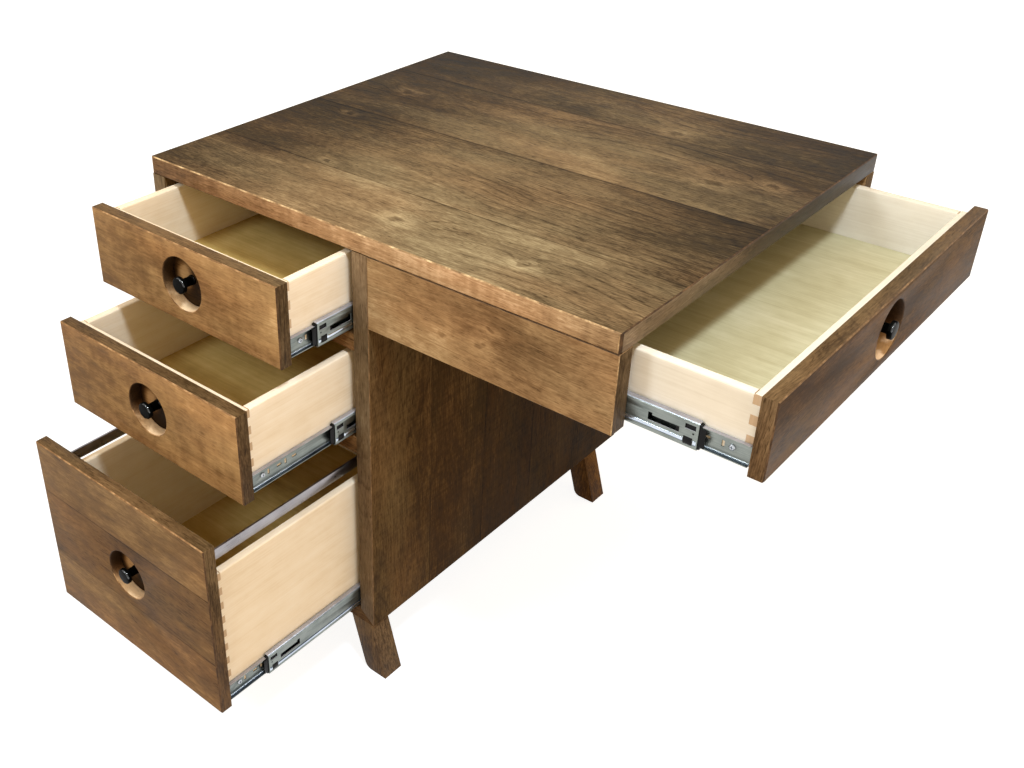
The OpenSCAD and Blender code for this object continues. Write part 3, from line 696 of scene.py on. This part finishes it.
# %% Faces of a board
FACE, ARRIS, END, FRONT, SHADOW_ARRIS, BORE, UPPER = range(7)
facing = 0.9
leaning = 0.3
widest_arris = 2.3 * MM
bore_reach = 42.0 * MM


def in_bore(face, middle):
    """True for the wall of a front's finger recess, which lies round the front's own middle."""
    away = face.calc_center_median() - middle
    level = min(abs(away.x), abs(away.y))
    return math.sqrt(max(away.length_squared - level ** 2, 0.0)) < bore_reach


def board_finish(source, face, middle, across):
    """The number of the finish that one face of a board gets, from its place and its normal."""
    drawer_front = source.endswith("drawer_front")
    normal = face.normal
    if drawer_front and abs(normal[across]) < leaning and in_bore(face, middle):
        return BORE
    # A narrow bevel is an arris. Painted shade goes on those that look down, on the apron's upward
    # ones under the top, on all but the upward ones of the drawer fronts, and on the top's right-hand
    # ones
    if face.calc_area() / max(edge.calc_length() for edge in face.edges) < widest_arris:
        level = -normal.z if source == "front_apron" else normal.z
        at_right = source == "top" and normal.x > leaning
        return SHADOW_ARRIS if at_right or level < (leaning if drawer_front else 0.0) else ARRIS
    # Upper faces of the drawer fronts take the finish with the painted sheen
    if drawer_front and normal.z > facing:
        return UPPER
    if abs(normal.x) > facing:
        return END
    return FRONT if abs(normal.y) > facing else FACE


def board(source, stain, ends=None, front=None):
    """A stained board with soft edges. Its ends along X, its front and its arrises may differ."""
    mesh = merged_mesh(source)
    low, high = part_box(source)
    across = 0 if high.x - low.x < high.y - low.y else 1
    for face in mesh.faces:
        face.material_index = board_finish(source, face, (low + high) / 2, across)
    at_side = source == "side_drawer_front"
    drawer_front = source.endswith("drawer_front")
    # The side front and the panels take the arris finish that paints their shade
    if at_side or source.endswith("panel"):
        light = arris_shade
    else:
        light = arris_soft if drawer_front else arris_worn_lit
    finishes = [stain, light, ends or stain, front or stain, arris_shadow]
    if drawer_front:
        upper = side_top_sheen if at_side else front_top_sheen
        finishes += [recesses[source.split("_")[0]][0], upper]
    made = to_object(source + "_wood", mesh, finishes)
    stand_for(softened(made, board_ease), source)


# %% Stained boards
board_ease = 0.35 * MM
panel_stains = (upright_stain_and_shade, None, stain_stile)
boards = {"top": (top_stain_and_light, top_end_stain_and_sheen, edge_stain_and_light), "front_apron": (stain_apron, end_along_z),
          "back_apron": (stain_apron, end_along_z), "drawer_rails": (stain_rail,),
          "left_panel": panel_stains, "right_panel": panel_stains,
          "back_panel": (upright_stain_and_shade,), "bottom_panel": (stain_rail,),
          "top_drawer_front": (stain_front, end_along_z),
          "middle_drawer_front": (stain_front, end_along_z),
          "file_drawer_front": (stain_file, end_along_z),
          "side_drawer_front": (stain_side_front, None, end_along_z)}
for side in ("left", "right"):
    boards[f"foot_front_{side}"] = (stain_foot,)
    boards[f"foot_back_{side}"] = (stain_back_foot,)
for source, stains in boards.items():
    board(source, *stains)

# %% [markdown]
# ## Finger jointed drawer boxes
# The walls of the drawers are pale maple boards with rounded top edges. Their corners lock with
# square fingers, a groove near the foot holds the bottom. That is a rule and not a drawing, so a
# Geometry Nodes tree follows the workshop: it moulds a length of board, ploughs the groove, and
# steps a square cutter down both ends. One tree makes all sixteen walls from their sizes.

# %% Maple and plywood
def pale_wood(name, along, across, colours, contrast=1.0, roughness=0.45, gloss=0.12):
    """Clear lacquered pale wood with faint, even grain, from three colours, dark to light."""
    made, tree, shader = new_material(name, roughness, gloss)
    place = grain_space(tree, along, across, (0.3, 0.7, 0.2))
    fibre = cloud(place, (8.0, 420.0, 420.0), 3.0, 0.6)
    streak = cloud(place, (2.4, 70.0, 70.0), 3.0, 0.55)
    cloudy = cloud(place, (3.0, 9.0, 9.0), 3.0)
    ripple = cloud(place, (26.0, 40.0, 40.0), 3.0, 0.6)
    terms = [(0.4, streak), (0.4, fibre), (0.6, cloudy), (0.4, ripple)]
    value = weighted(0.5, [(weight * contrast, noise) for weight, noise in terms])
    painted(shader, value, [(at, *colour) for at, colour in zip((0.2, 0.5, 0.8), colours)])
    dimpled(shader, fibre, 0.12, 0.2 * MM)
    return made


maple_colours = ((226, 210, 186), (242, 232, 217), (250, 244, 235))
white_colours = ((212, 208, 200), (227, 225, 219), (237, 236, 232))
end_colours = ((172, 148, 122), (198, 174, 148), (214, 194, 170))
ply_colours = ((170, 165, 132), (191, 189, 159), (209, 208, 184))
olive_colours = ((174, 146, 85), (202, 175, 110), (221, 197, 135))
side_grain = {}
for kind, colours in (("maple", maple_colours), ("white_maple", white_colours)):
    for along, way in (("X", "across"), ("Y", "lengthwise")):
        side_grain[kind, along] = pale_wood(f"{kind}_{way}", along, "Z", colours)
maple_end = pale_wood("maple_end_grain", "Z", "Y", end_colours, 0.8)
plywood = pale_wood("drawer_plywood", "X", "Y", ply_colours, 1.2, 0.34, 0.25)
low_plywood = pale_wood("pedestal_plywood", "X", "Y", olive_colours, 1.2, 0.4, 0.05)

# %% Geometry tree helpers
def new_tree(name, sizes, counts, materials, on_places=False):
    """An empty geometry tree with named inputs, the first a mesh of places where it takes one."""
    tree = bpy.data.node_groups.new(name, "GeometryNodeTree")
    tree.is_modifier = True
    kinds = [("Places", "Geometry", None)] if on_places else []
    kinds += [(key, "Float", value) for key, value in sizes.items()]
    kinds += [(key, "Int", value) for key, value in counts.items()]
    kinds += [(key, "Material", None) for key in materials]
    for key, kind, value in kinds:
        socket = tree.interface.new_socket(key, in_out="INPUT", socket_type="NodeSocket" + kind)
        if value is not None:
            socket.default_value = value
    tree.interface.new_socket("Geometry", in_out="OUTPUT", socket_type="NodeSocketGeometry")
    return tree, put(tree, "NodeGroupInput").outputs


def block(x, y, z):
    """A box of these sizes round the origin."""
    return put(tree_of(x, y, z), "GeometryNodeMeshCube", {"Size": vector(x, y, z)})


def shifted(shape, x, y, z):
    """A shape moved by x, y and z."""
    inputs = {0: shape, "Translation": vector(x, y, z)}
    return put(tree_of(shape), "GeometryNodeTransform", inputs)


def joined(shapes):
    """Several shapes as one."""
    tree = tree_of(*shapes)
    made = put(tree, "GeometryNodeJoinGeometry")
    for shape in shapes:
        tree.links.new(shape.outputs[0], made.inputs[0])
    return made


def carved(shape, tool):
    """A shape less another, by an exact boolean."""
    inputs = {"Mesh 1": shape, "Mesh 2": tool, "Self Intersection": True}
    return put(tree_of(shape), "GeometryNodeMeshBoolean", inputs, solver="EXACT")


# %% Finger jointed wall
def wall_tree():
    """A board along X, its inner face at Y = 0 and its foot at Z = 0, with fingers at both ends."""
    sizes = {"Length": 0.35, "Height": 0.1, "Thickness": 0.0127, "Round": 0.0025,
             "Joint Height": 0.1, "Groove Lift": 0.006, "Groove Height": 0.006, "Groove Depth": 0.005}
    counts = {"Fingers": 8, "First": 0}
    tree, given = new_tree("finger_jointed_wall", sizes, counts, ("Side Grain", "End Grain"))
    length, height, thick = given["Length"], given["Height"], given["Thickness"]
    # Mould the board: a section with two rounded corners, drawn along a straight line
    section = put(tree, "GeometryNodeCurvePrimitiveQuadrilateral", {"Width": thick, "Height": height})
    position = split(put(tree, "GeometryNodeInputPosition"))
    upper = calc("LESS_THAN", position[1], 0.0)
    radius = times(upper, given["Round"])
    rounded = put(tree, "GeometryNodeFilletCurve", {"Curve": section, "Count": 4, "Radius": radius},
                  mode="POLY")
    line = put(tree, "GeometryNodeCurvePrimitiveLine", {"End": vector(length, 0.0, 0.0)})
    swept = put(tree, "GeometryNodeCurveToMesh",
                {"Curve": line, "Fill Caps": True, "Profile Curve": rounded})
    half_thick = times(thick, 0.5)
    stock = shifted(swept, 0.0, half_thick, times(height, 0.5))
    # Step the cutter down the end. It starts with finger First and skips every second one.
    # The cuts that meet the upper or lower edge reach past it.
    pitch = calc("DIVIDE", given["Joint Height"], given["Fingers"])
    left = calc("SUBTRACT", given["Fingers"], given["First"])
    count = calc("FLOOR", calc("DIVIDE", calc("ADD", left, 1.0), 2.0))
    stops = put(tree, "GeometryNodeMeshLine", {"Count": count, "Offset": (0.0, 0.0, 0.0)})
    index = put(tree, "GeometryNodeInputIndex")
    finger = stretched(index, 2.0, given["First"])
    is_top = calc("LESS_THAN", finger, 0.5)
    is_foot = calc("GREATER_THAN", finger, calc("SUBTRACT", given["Fingers"], 1.5))
    reach = stretched(calc("ADD", is_top, is_foot), 0.5, 1.0)
    lean = times(calc("SUBTRACT", is_top, is_foot), 0.25)
    down = calc("SUBTRACT", calc("ADD", finger, 0.5), lean)
    rise = calc("SUBTRACT", given["Joint Height"], times(down, pitch))
    heights = vector(0.0, 0.0, rise)
    places = put(tree, "GeometryNodeSetPosition", {0: stops, "Position": heights})
    wide = times(thick, 2.0)
    steps = put(tree, "GeometryNodeInstanceOnPoints",
                {"Points": places, "Instance": block(wide, wide, pitch),
                 "Scale": vector(1.0, 1.0, reach)})
    ends = [shifted(steps, end, half_thick, 0.0) for end in (0.0, length)]
    # Plough the groove. It stops short of the ends, inside the corner joints.
    deep = given["Groove Depth"]
    stop = calc("SUBTRACT", thick, deep)
    run = calc("SUBTRACT", length, times(stop, 2.0))
    plough = block(run, times(deep, 2.0), given["Groove Height"])
    up = stretched(given["Groove Height"], 0.5, given["Groove Lift"])
    groove = shifted(plough, times(length, 0.5), 0.0, up)
    tools = joined((groove, ends[1], ends[0]))
    cut_board = carved(stock, put(tree, "GeometryNodeRealizeInstances", {0: tools}))
    # The grain runs along X, so the faces across X show end grain
    normal = split(put(tree, "GeometryNodeInputNormal"))
    across = calc("GREATER_THAN", calc("ABSOLUTE", normal[0]), facing)
    real = put(tree, "GeometryNodeRealizeInstances", {0: cut_board})
    sides = put(tree, "GeometryNodeSetMaterial", {0: real, "Material": given["Side Grain"]})
    whole = put(tree, "GeometryNodeSetMaterial",
                {0: sides, "Selection": across, "Material": given["End Grain"]})
    put(tree, "NodeGroupOutput", {0: whole})
    return tree


finger_wall = wall_tree()
print(finger_wall.name, len(finger_wall.nodes), "nodes")

# %% [markdown]
# A modifier shows the tree on an object that has no mesh of its own. Each socket is set by its
# identifier before the object is first evaluated, and the result is kept as a plain mesh.

# %% Run a tree
def grown(name, tree, values, places=None):
    """A new object whose mesh is what a geometry tree makes from these inputs, and from places."""
    made = new_object(name, places or bpy.data.meshes.new(name))
    modifier = made.modifiers.new("tree", "NODES")
    modifier.node_group = tree
    sockets = {s.name: s.identifier for s in tree.interface.items_tree if s.in_out == "INPUT"}
    for key, value in values.items():
        modifier[sockets[key]] = value
    return baked(made)


# %% One wall of a box
def box_wall(drawer, side, joint_height, turn):
    """One wall of a drawer, grown in its own place and then set where its solid stands."""
    source = f"{drawer}_box_{side}"
    low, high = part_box(source)
    ply_low, ply_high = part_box(f"{drawer}_bottom")
    size = high - low
    end_wall = side in ("front", "back")
    grain = "X" if end_wall == (drawer != "side") else "Y"
    along = AXES.index(grain)
    kind = "white_maple" if drawer == "side" else "maple"
    values = {"Length": size[along], "Height": size.z, "Thickness": size[1 - along],
              "Joint Height": joint_height, "Fingers": round(joint_height / finger_height),
              "First": int(end_wall), "Round": top_round, "Groove Lift": ply_low.z - low.z,
              "Groove Height": ply_high.z - ply_low.z, "Groove Depth": groove_depth,
              "Side Grain": side_grain[kind, grain], "End Grain": maple_end}
    made = grown(f"{source}_maple", finger_wall, values)
    corner = {0: (low.x, low.y), 90: (high.x, low.y), 180: (high.x, high.y), -90: (low.x, high.y)}
    place = Matrix.Translation((*corner[turn], low.z)) @ Matrix.Rotation(math.radians(turn), 4, "Z")
    made.data.transform(place)
    softened(made, wall_ease)
    # The box front's outer face is the floor of the recess, with its painted lit patch
    if side == "front":
        made.data.materials.append(recesses[drawer][1])
        outward = Vector((0, -1, 0)) if grain == "X" else Vector((1, 0, 0))
        for face in made.data.polygons:
            if face.normal.dot(outward) > squarely:
                face.material_index = len(made.data.materials) - 1
    stand_for(made, source)


# %% Drawer walls
squarely = 0.95
wall_ease = 0.3 * MM
finger_height = 12.9 * MM
top_round = 2.5 * MM
groove_depth = 5.0 * MM
pedestal_turns = {"front": 180, "back": 0, "left": 90, "right": -90}
side_turns = {"front": -90, "back": 90, "left": 180, "right": 0}
for drawer in drawers:
    low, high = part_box(f"{drawer}_box_left")
    for side, turn in (side_turns if drawer == "side" else pedestal_turns).items():
        box_wall(drawer, side, high.z - low.z, turn)
    bottom = nodes[f"{drawer}_bottom"].data
    bottom.materials.clear()
    bottom.materials.append(plywood if drawer == "side" else low_plywood)

# %% [markdown]
# ## Ball slides
# The slides are rolled from zinc plated sheet. The copies of their three members get rounded
# sheet edges, and the plate shows faint lines along the rolling direction. The flat web, the
# flanges, the bends between them and the inside of the drawer member's lower flange each have their
# own finish, chosen face by face from the way that the face looks: the upper side of a bend is a
# little paler as a painted highlight, the inside of the lower flange darker as a painted shade.

# %% Slide metals and plastics
def plated(name, dark, light, roughness, metallic=1.0):
    """Plated sheet steel with rolling lines and faint clouds."""
    made, tree, shader = new_material(name, roughness, metallic=metallic)
    lines = cloud(in_object(tree), (30.0, 30.0, 900.0), 2.0)
    clouds = cloud(in_object(tree), (45.0, 45.0, 45.0), 3.0)
    value = weighted(0.5, [(0.9, lines), (0.9, clouds)])
    painted(shader, value, [(0.2, *dark), (0.8, *light)])
    tree.links.new(weighted(roughness, [(0.25, clouds)]), shader.inputs["Roughness"])
    dimpled(shader, lines, 0.1, 0.1 * MM)
    return made


def moulded(name, dark, light, roughness, gloss):
    """Black plastic with the fine grain of its mould."""
    made, tree, shader = new_material(name, roughness, gloss)
    grain = cloud(in_object(tree), (900.0, 900.0, 900.0), 2.0)
    painted(shader, grain, [(0.3, *dark), (0.7, *light)])
    dimpled(shader, grain, 0.15, 0.1 * MM)
    return made


zinc_web = plated("zinc_web", (112, 118, 114), (146, 151, 145), 0.36)
zinc_flange = plated("zinc_flange", (146, 146, 156), (174, 174, 184), 0.4, 0.5)
# Paler metal on the upper side of a bend, as a painted highlight
zinc_bend = plated("zinc_bend", (122, 126, 134), (160, 164, 172), 0.45)
# Paler metal on the upper half of the rib and roller as a painted highlight, and darker metal on their
# lower halves as a painted shade
zinc_lit_half = plated("zinc_lit_half", (180, 190, 202), (214, 222, 232), 0.2)
bar_metal = plated("bar_metal", (134, 130, 132), (168, 164, 166), 0.3)
zinc_shaded_half = plated("zinc_shaded_half", (58, 66, 80), (92, 102, 118), 0.3)
# Darker metal inside the drawer member's lower flange, as a painted shade
zinc_shaded_track = plated("zinc_shaded_track", (70, 76, 86), (104, 112, 122), 0.35)
screw_metal = plated("screw_metal", (150, 154, 158), (214, 216, 220), 0.25)
black_plastic = moulded("black_plastic", (8, 8, 10), (18, 18, 21), 0.35, 0.14)
black_lacquer = moulded("black_lacquer", (5, 6, 6), (9, 10, 11), 0.3, 0.02)
# A glossier, slightly paler black for the upper right of the knob's rim, as a painted highlight
black_highlight = moulded("black_highlight", (12, 14, 14), (16, 18, 18), 0.08, 1.0)

# %% Members, cages, bars and knobs
def dressed(source, finishes, ease, choose=None):
    """A copy of a solid with soft edges. choose picks the finish of each face by its number."""
    mesh = merged_mesh(source)
    for face in mesh.faces:
        face.material_index = choose(face) if choose else 0
    made = to_object(source + "_dressed", mesh, finishes)
    stand_for(softened(made, ease), source)


def flange(face):
    """1 for the flanges and sheet edges, 2 for the upper side of a bend, painted paler as a highlight,
    0 for the rest.
    """
    if abs(face.normal.z) > squarely:
        return 1
    return 2 if face.normal.z > 0.6 else 0


def lit_crescent(face):
    """1 on the upper right of the knob's rounded rim, which gets a glossier, paler black as a painted
    highlight.
    """
    x, y, z = face.normal
    return 1 if -squarely < y < -0.15 and z > 0.15 and x > -0.1 else 0


def shaded_flange(middle):
    """As flange, with 3 for the inside of the lower flange, painted darker as a shade."""
    def choose(face):
        number = flange(face)
        low_inside = face.normal.z > 0 and face.calc_center_median().z < middle
        return 3 if number == 1 and low_inside else number
    return choose


sheet_ease, cage_ease, knob_ease, bar_ease = 0.2 * MM, 0.6 * MM, 0.15 * MM, 0.3 * MM
sheet_finishes = [zinc_web, zinc_flange, zinc_bend, zinc_shaded_track]
members = ["cabinet_members"]
members += [f"{drawer}_{part}" for drawer in drawers for part in ("runners", "drawer_members")]
for source in members:
    low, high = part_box(source)
    choose = shaded_flange((low.z + high.z) / 2) if source.endswith("drawer_members") else flange
    dressed(source, sheet_finishes, sheet_ease, choose)
for drawer in drawers:
    dressed(f"{drawer}_cages", [black_plastic], cage_ease)
    dressed(f"{drawer}_knob", [black_lacquer, black_highlight], knob_ease, lit_crescent)
dressed("file_rails", [bar_metal], bar_ease)

# %% [markdown]
# Each slide has the same small fittings on the web of its intermediate member: a pressed rib that
# stiffens the sheet, a black half round sleeve with a bright roller, where the member is caught
# when the drawer shuts, and the head of a rivet. They are set out in the slide's own directions:
# outward, back from the front end, and up from the centre line.

# %% Slide fittings
def half_round(mesh, length, width, rise, at):
    """A bar with a half round section and domed ends, on the plane where the first direction is 0."""
    steps = 6
    rings = []
    end = min(width / 2, length / 4)
    dome = [(0.0, 0.0), (end * 0.3, 0.7), (end, 1.0)]
    for along, full in dome + [(length - back, share) for back, share in reversed(dome)]:
        ring = []
        for i in range(steps + 1):
            angle = math.pi * i / steps
            place = (rise * full * math.sin(angle), along, width / 2 * math.cos(angle))
            ring.append(mesh.verts.new(Vector(at) + Vector(place)))
        rings.append(ring)
    for one, two in zip(rings, rings[1:]):
        for i in range(steps):
            mesh.faces.new((one[i], two[i], two[i + 1], one[i + 1]))
        mesh.faces.new((one[steps], two[steps], two[0], one[0]))
    mesh.faces.new(rings[0])
    mesh.faces.new(list(reversed(rings[-1])))


def slide_places(drawer):
    """For both slides of a drawer: a matrix from (outward, back, up) to the desk, and the length."""
    low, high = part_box(f"{drawer}_runners")
    centre = (low.z + high.z) / 2
    if drawer == "side":
        back, length = (-1, 0, 0), high.x - low.x
        slides = (((0, -1, 0), (high.x, low.y)), ((0, 1, 0), (high.x, high.y)))
    else:
        back, length = (0, 1, 0), high.y - low.y
        slides = (((1, 0, 0), (high.x, low.y)), ((-1, 0, 0), (low.x, low.y)))
    for out, corner in slides:
        turned = Matrix((out, back, (0, 0, 1))).transposed().to_4x4()
        yield Matrix.Translation((*corner, centre)) @ turned, length


def fittings(drawer, name, finishes, parts):
    """Half round parts on both slides. Each has length, width, rise, distance back and height.
    A length of 0 runs on to the end of the slide."""
    mesh = bmesh.new()
    for place, run in slide_places(drawer):
        one = bmesh.new()
        for length, width, rise, back, up in parts:
            half_round(one, length or run - back, width, rise, (-sunk, back, up))
        one.transform(place)
        bmesh.ops.recalc_face_normals(one, faces=one.faces)
        data = bpy.data.meshes.new("part")
        one.to_mesh(data)
        one.free()
        mesh.from_mesh(data)
    made = to_object(f"{drawer}_{name}", mesh, finishes)
    for face in made.data.polygons:
        face.use_smooth = True
        # Faces that look down take the last finish: painted shade under the rib and the roller
        face.material_index = len(finishes) - 1 if face.normal.z < -0.1 else 0
    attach(made, nodes[f"{drawer}_runners"]["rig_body"])
    print(made.name, len(made.data.polygons), "faces")


sunk = 0.1 * MM
rib_height = -9.0 * MM
rib = [(0.0, 5.4 * MM, 0.92 * MM, 17.0 * MM, rib_height)]
rivet = (2.6 * MM, 2.6 * MM, 0.2 * MM, 4.5 * MM, 2.5 * MM)
sleeve = [(11.0 * MM, 8.0 * MM, 0.95 * MM, 6.2 * MM, rib_height), rivet]
roller = [(5.0 * MM, 6.0 * MM, 0.95 * MM, 1.0 * MM, rib_height)]
for drawer in drawers:
    fittings(drawer, "rib", [zinc_lit_half, zinc_shaded_half], rib)
    fittings(drawer, "sleeve", [black_plastic], sleeve)
    fittings(drawer, "roller", [zinc_lit_half, zinc_shaded_half], roller)

# %% [markdown]
# ## Screws
# Every screw of the desk comes from one tree: a bevelled head with a cross recess cut by two small
# blocks, a shank and a point, set out on the vertices of a mesh and turned along an attribute.
# The places are read from the solids, whose loose parts are the single screws.

# %% Where the screws are
same_level = 0.1 * MM


def screw_places(source):
    """For each screw of a solid: head end, direction out of the head, length and the two radii."""
    mesh = merged_mesh(source)
    found = []
    left = set(mesh.verts)
    while left:
        part = {left.pop()}
        edge = set(part)
        while edge:
            edge = {v for old in edge for e in old.link_edges for v in e.verts} - part
            part |= edge
        left -= part
        low = Vector([min(v.co[i] for v in part) for i in range(3)])
        high = Vector([max(v.co[i] for v in part) for i in range(3)])
        size = high - low
        axis = max(range(3), key=lambda i: size[i])
        middle = (low + high) / 2
        ends = {}
        for sign, level in ((-1, low[axis]), (1, high[axis])):
            centre = middle.copy()
            centre[axis] = level
            rim = [v.co for v in part if abs(v.co[axis] - level) < same_level]
            ends[sign] = max((place - centre).length for place in rim)
        sign = max(ends, key=ends.get)
        out = Vector([sign if i == axis else 0 for i in range(3)])
        wide = min(size[i] for i in range(3) if i != axis) / 2
        found.append((middle + out * size[axis] / 2, out, size[axis], wide, ends[-sign]))
    mesh.free()
    return found


# %% Screw tree
bevel_share, flat_share = 0.45, 0.72
arm_share, slot_share = 1.1, 0.28


def screw_tree():
    """Cross head screws on the vertices of a mesh, their heads along the attribute named axis."""
    sizes = {"Head Radius": 0.0038, "Head Height": 0.002, "Shank Radius": 0.0018, "Length": 0.02,
             "Recess": 0.0012}
    tree, given = new_tree("cross_head_screws", sizes, {}, ("Metal",), on_places=True)
    radius, height = given["Head Radius"], given["Head Height"]
    shank_radius, length = given["Shank Radius"], given["Length"]

    def turned_part(top, bottom, depth, foot):
        inputs = {"Vertices": 12, "Radius Top": top, "Radius Bottom": bottom, "Depth": depth}
        return shifted(put(tree, "GeometryNodeMeshCone", inputs), 0.0, 0.0, foot)

    bevel = times(height, bevel_share)
    body = calc("SUBTRACT", height, bevel)
    upper = turned_part(times(radius, flat_share), radius, bevel, times(bevel, -1.0))
    lower = turned_part(radius, radius, body, times(height, -1.0))
    point = times(shank_radius, 2.0)
    shank_end = calc("SUBTRACT", point, length)
    shank_run = times(calc("ADD", shank_end, height), -1.0)
    shank = turned_part(shank_radius, shank_radius, shank_run, shank_end)
    tip = turned_part(shank_radius, 0.2 * MM, point, times(length, -1.0))
    head = joined((upper, lower))
    welded = put(tree, "GeometryNodeMergeByDistance", {0: head, "Distance": 0.01 * MM})
    # The cross recess: two blocks that reach below the head's top
    arm, slot_width = times(radius, arm_share), times(radius, slot_share)
    deep = times(given["Recess"], 2.0)
    cross = joined((block(arm, slot_width, deep), block(slot_width, arm, deep)))
    whole = joined((carved(welded, cross), shank, tip))
    named = put(tree, "GeometryNodeInputNamedAttribute", {"Name": "axis"}, data_type="FLOAT_VECTOR")
    turned = put(tree, "FunctionNodeAlignRotationToVector", {"Vector": named}, axis="Z")
    points = put(tree, "GeometryNodeMeshToPoints", {0: given["Places"]})
    set_out = put(tree, "GeometryNodeInstanceOnPoints",
                  {"Points": points, "Instance": whole, "Rotation": turned})
    real = put(tree, "GeometryNodeRealizeInstances", {0: set_out})
    finish = put(tree, "GeometryNodeSetMaterial", {0: real, "Material": given["Metal"]})
    put(tree, "NodeGroupOutput", {0: finish})
    return tree


# %% Screws on their places
head_share, recess_share = 0.5, 0.28


def screws_for(source, tree):
    """All the screws of one solid, grown size by size and joined into one piece."""
    groups = {}
    for head, out, length, wide, thin in screw_places(source):
        key = (round(length / MM, 1), round(wide / MM, 1), round(thin / MM, 1))
        groups.setdefault(key, []).append((head, out))
    whole = bmesh.new()
    for (length, wide, thin), places in groups.items():
        points = bpy.data.meshes.new("screw_places")
        points.from_pydata([head for head, out in places], [], [])
        axis = points.attributes.new("axis", "FLOAT_VECTOR", "POINT")
        axis.data.foreach_set("vector", [v for head, out in places for v in out])
        radius = wide * MM
        values = {"Head Radius": radius, "Head Height": head_share * radius, "Length": length * MM,
                  "Shank Radius": thin * MM, "Recess": recess_share * radius, "Metal": screw_metal}
        some = grown("some_screws", tree, values, points)
        whole.from_mesh(some.data)
        bpy.data.objects.remove(some)
    made = to_object(source + "_turned", whole, [screw_metal])
    print("screws by length, head and shank", {size: len(places) for size, places in groups.items()})
    stand_for(made, source)


cross_heads = screw_tree()
for source in ["cabinet_screws", "foot_screws"] + [f"{drawer}_screws" for drawer in drawers]:
    screws_for(source, cross_heads)

# %% Sizes and the last line
low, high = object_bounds()
print("visual", [round(v, 4) for v in (*low, *high)])
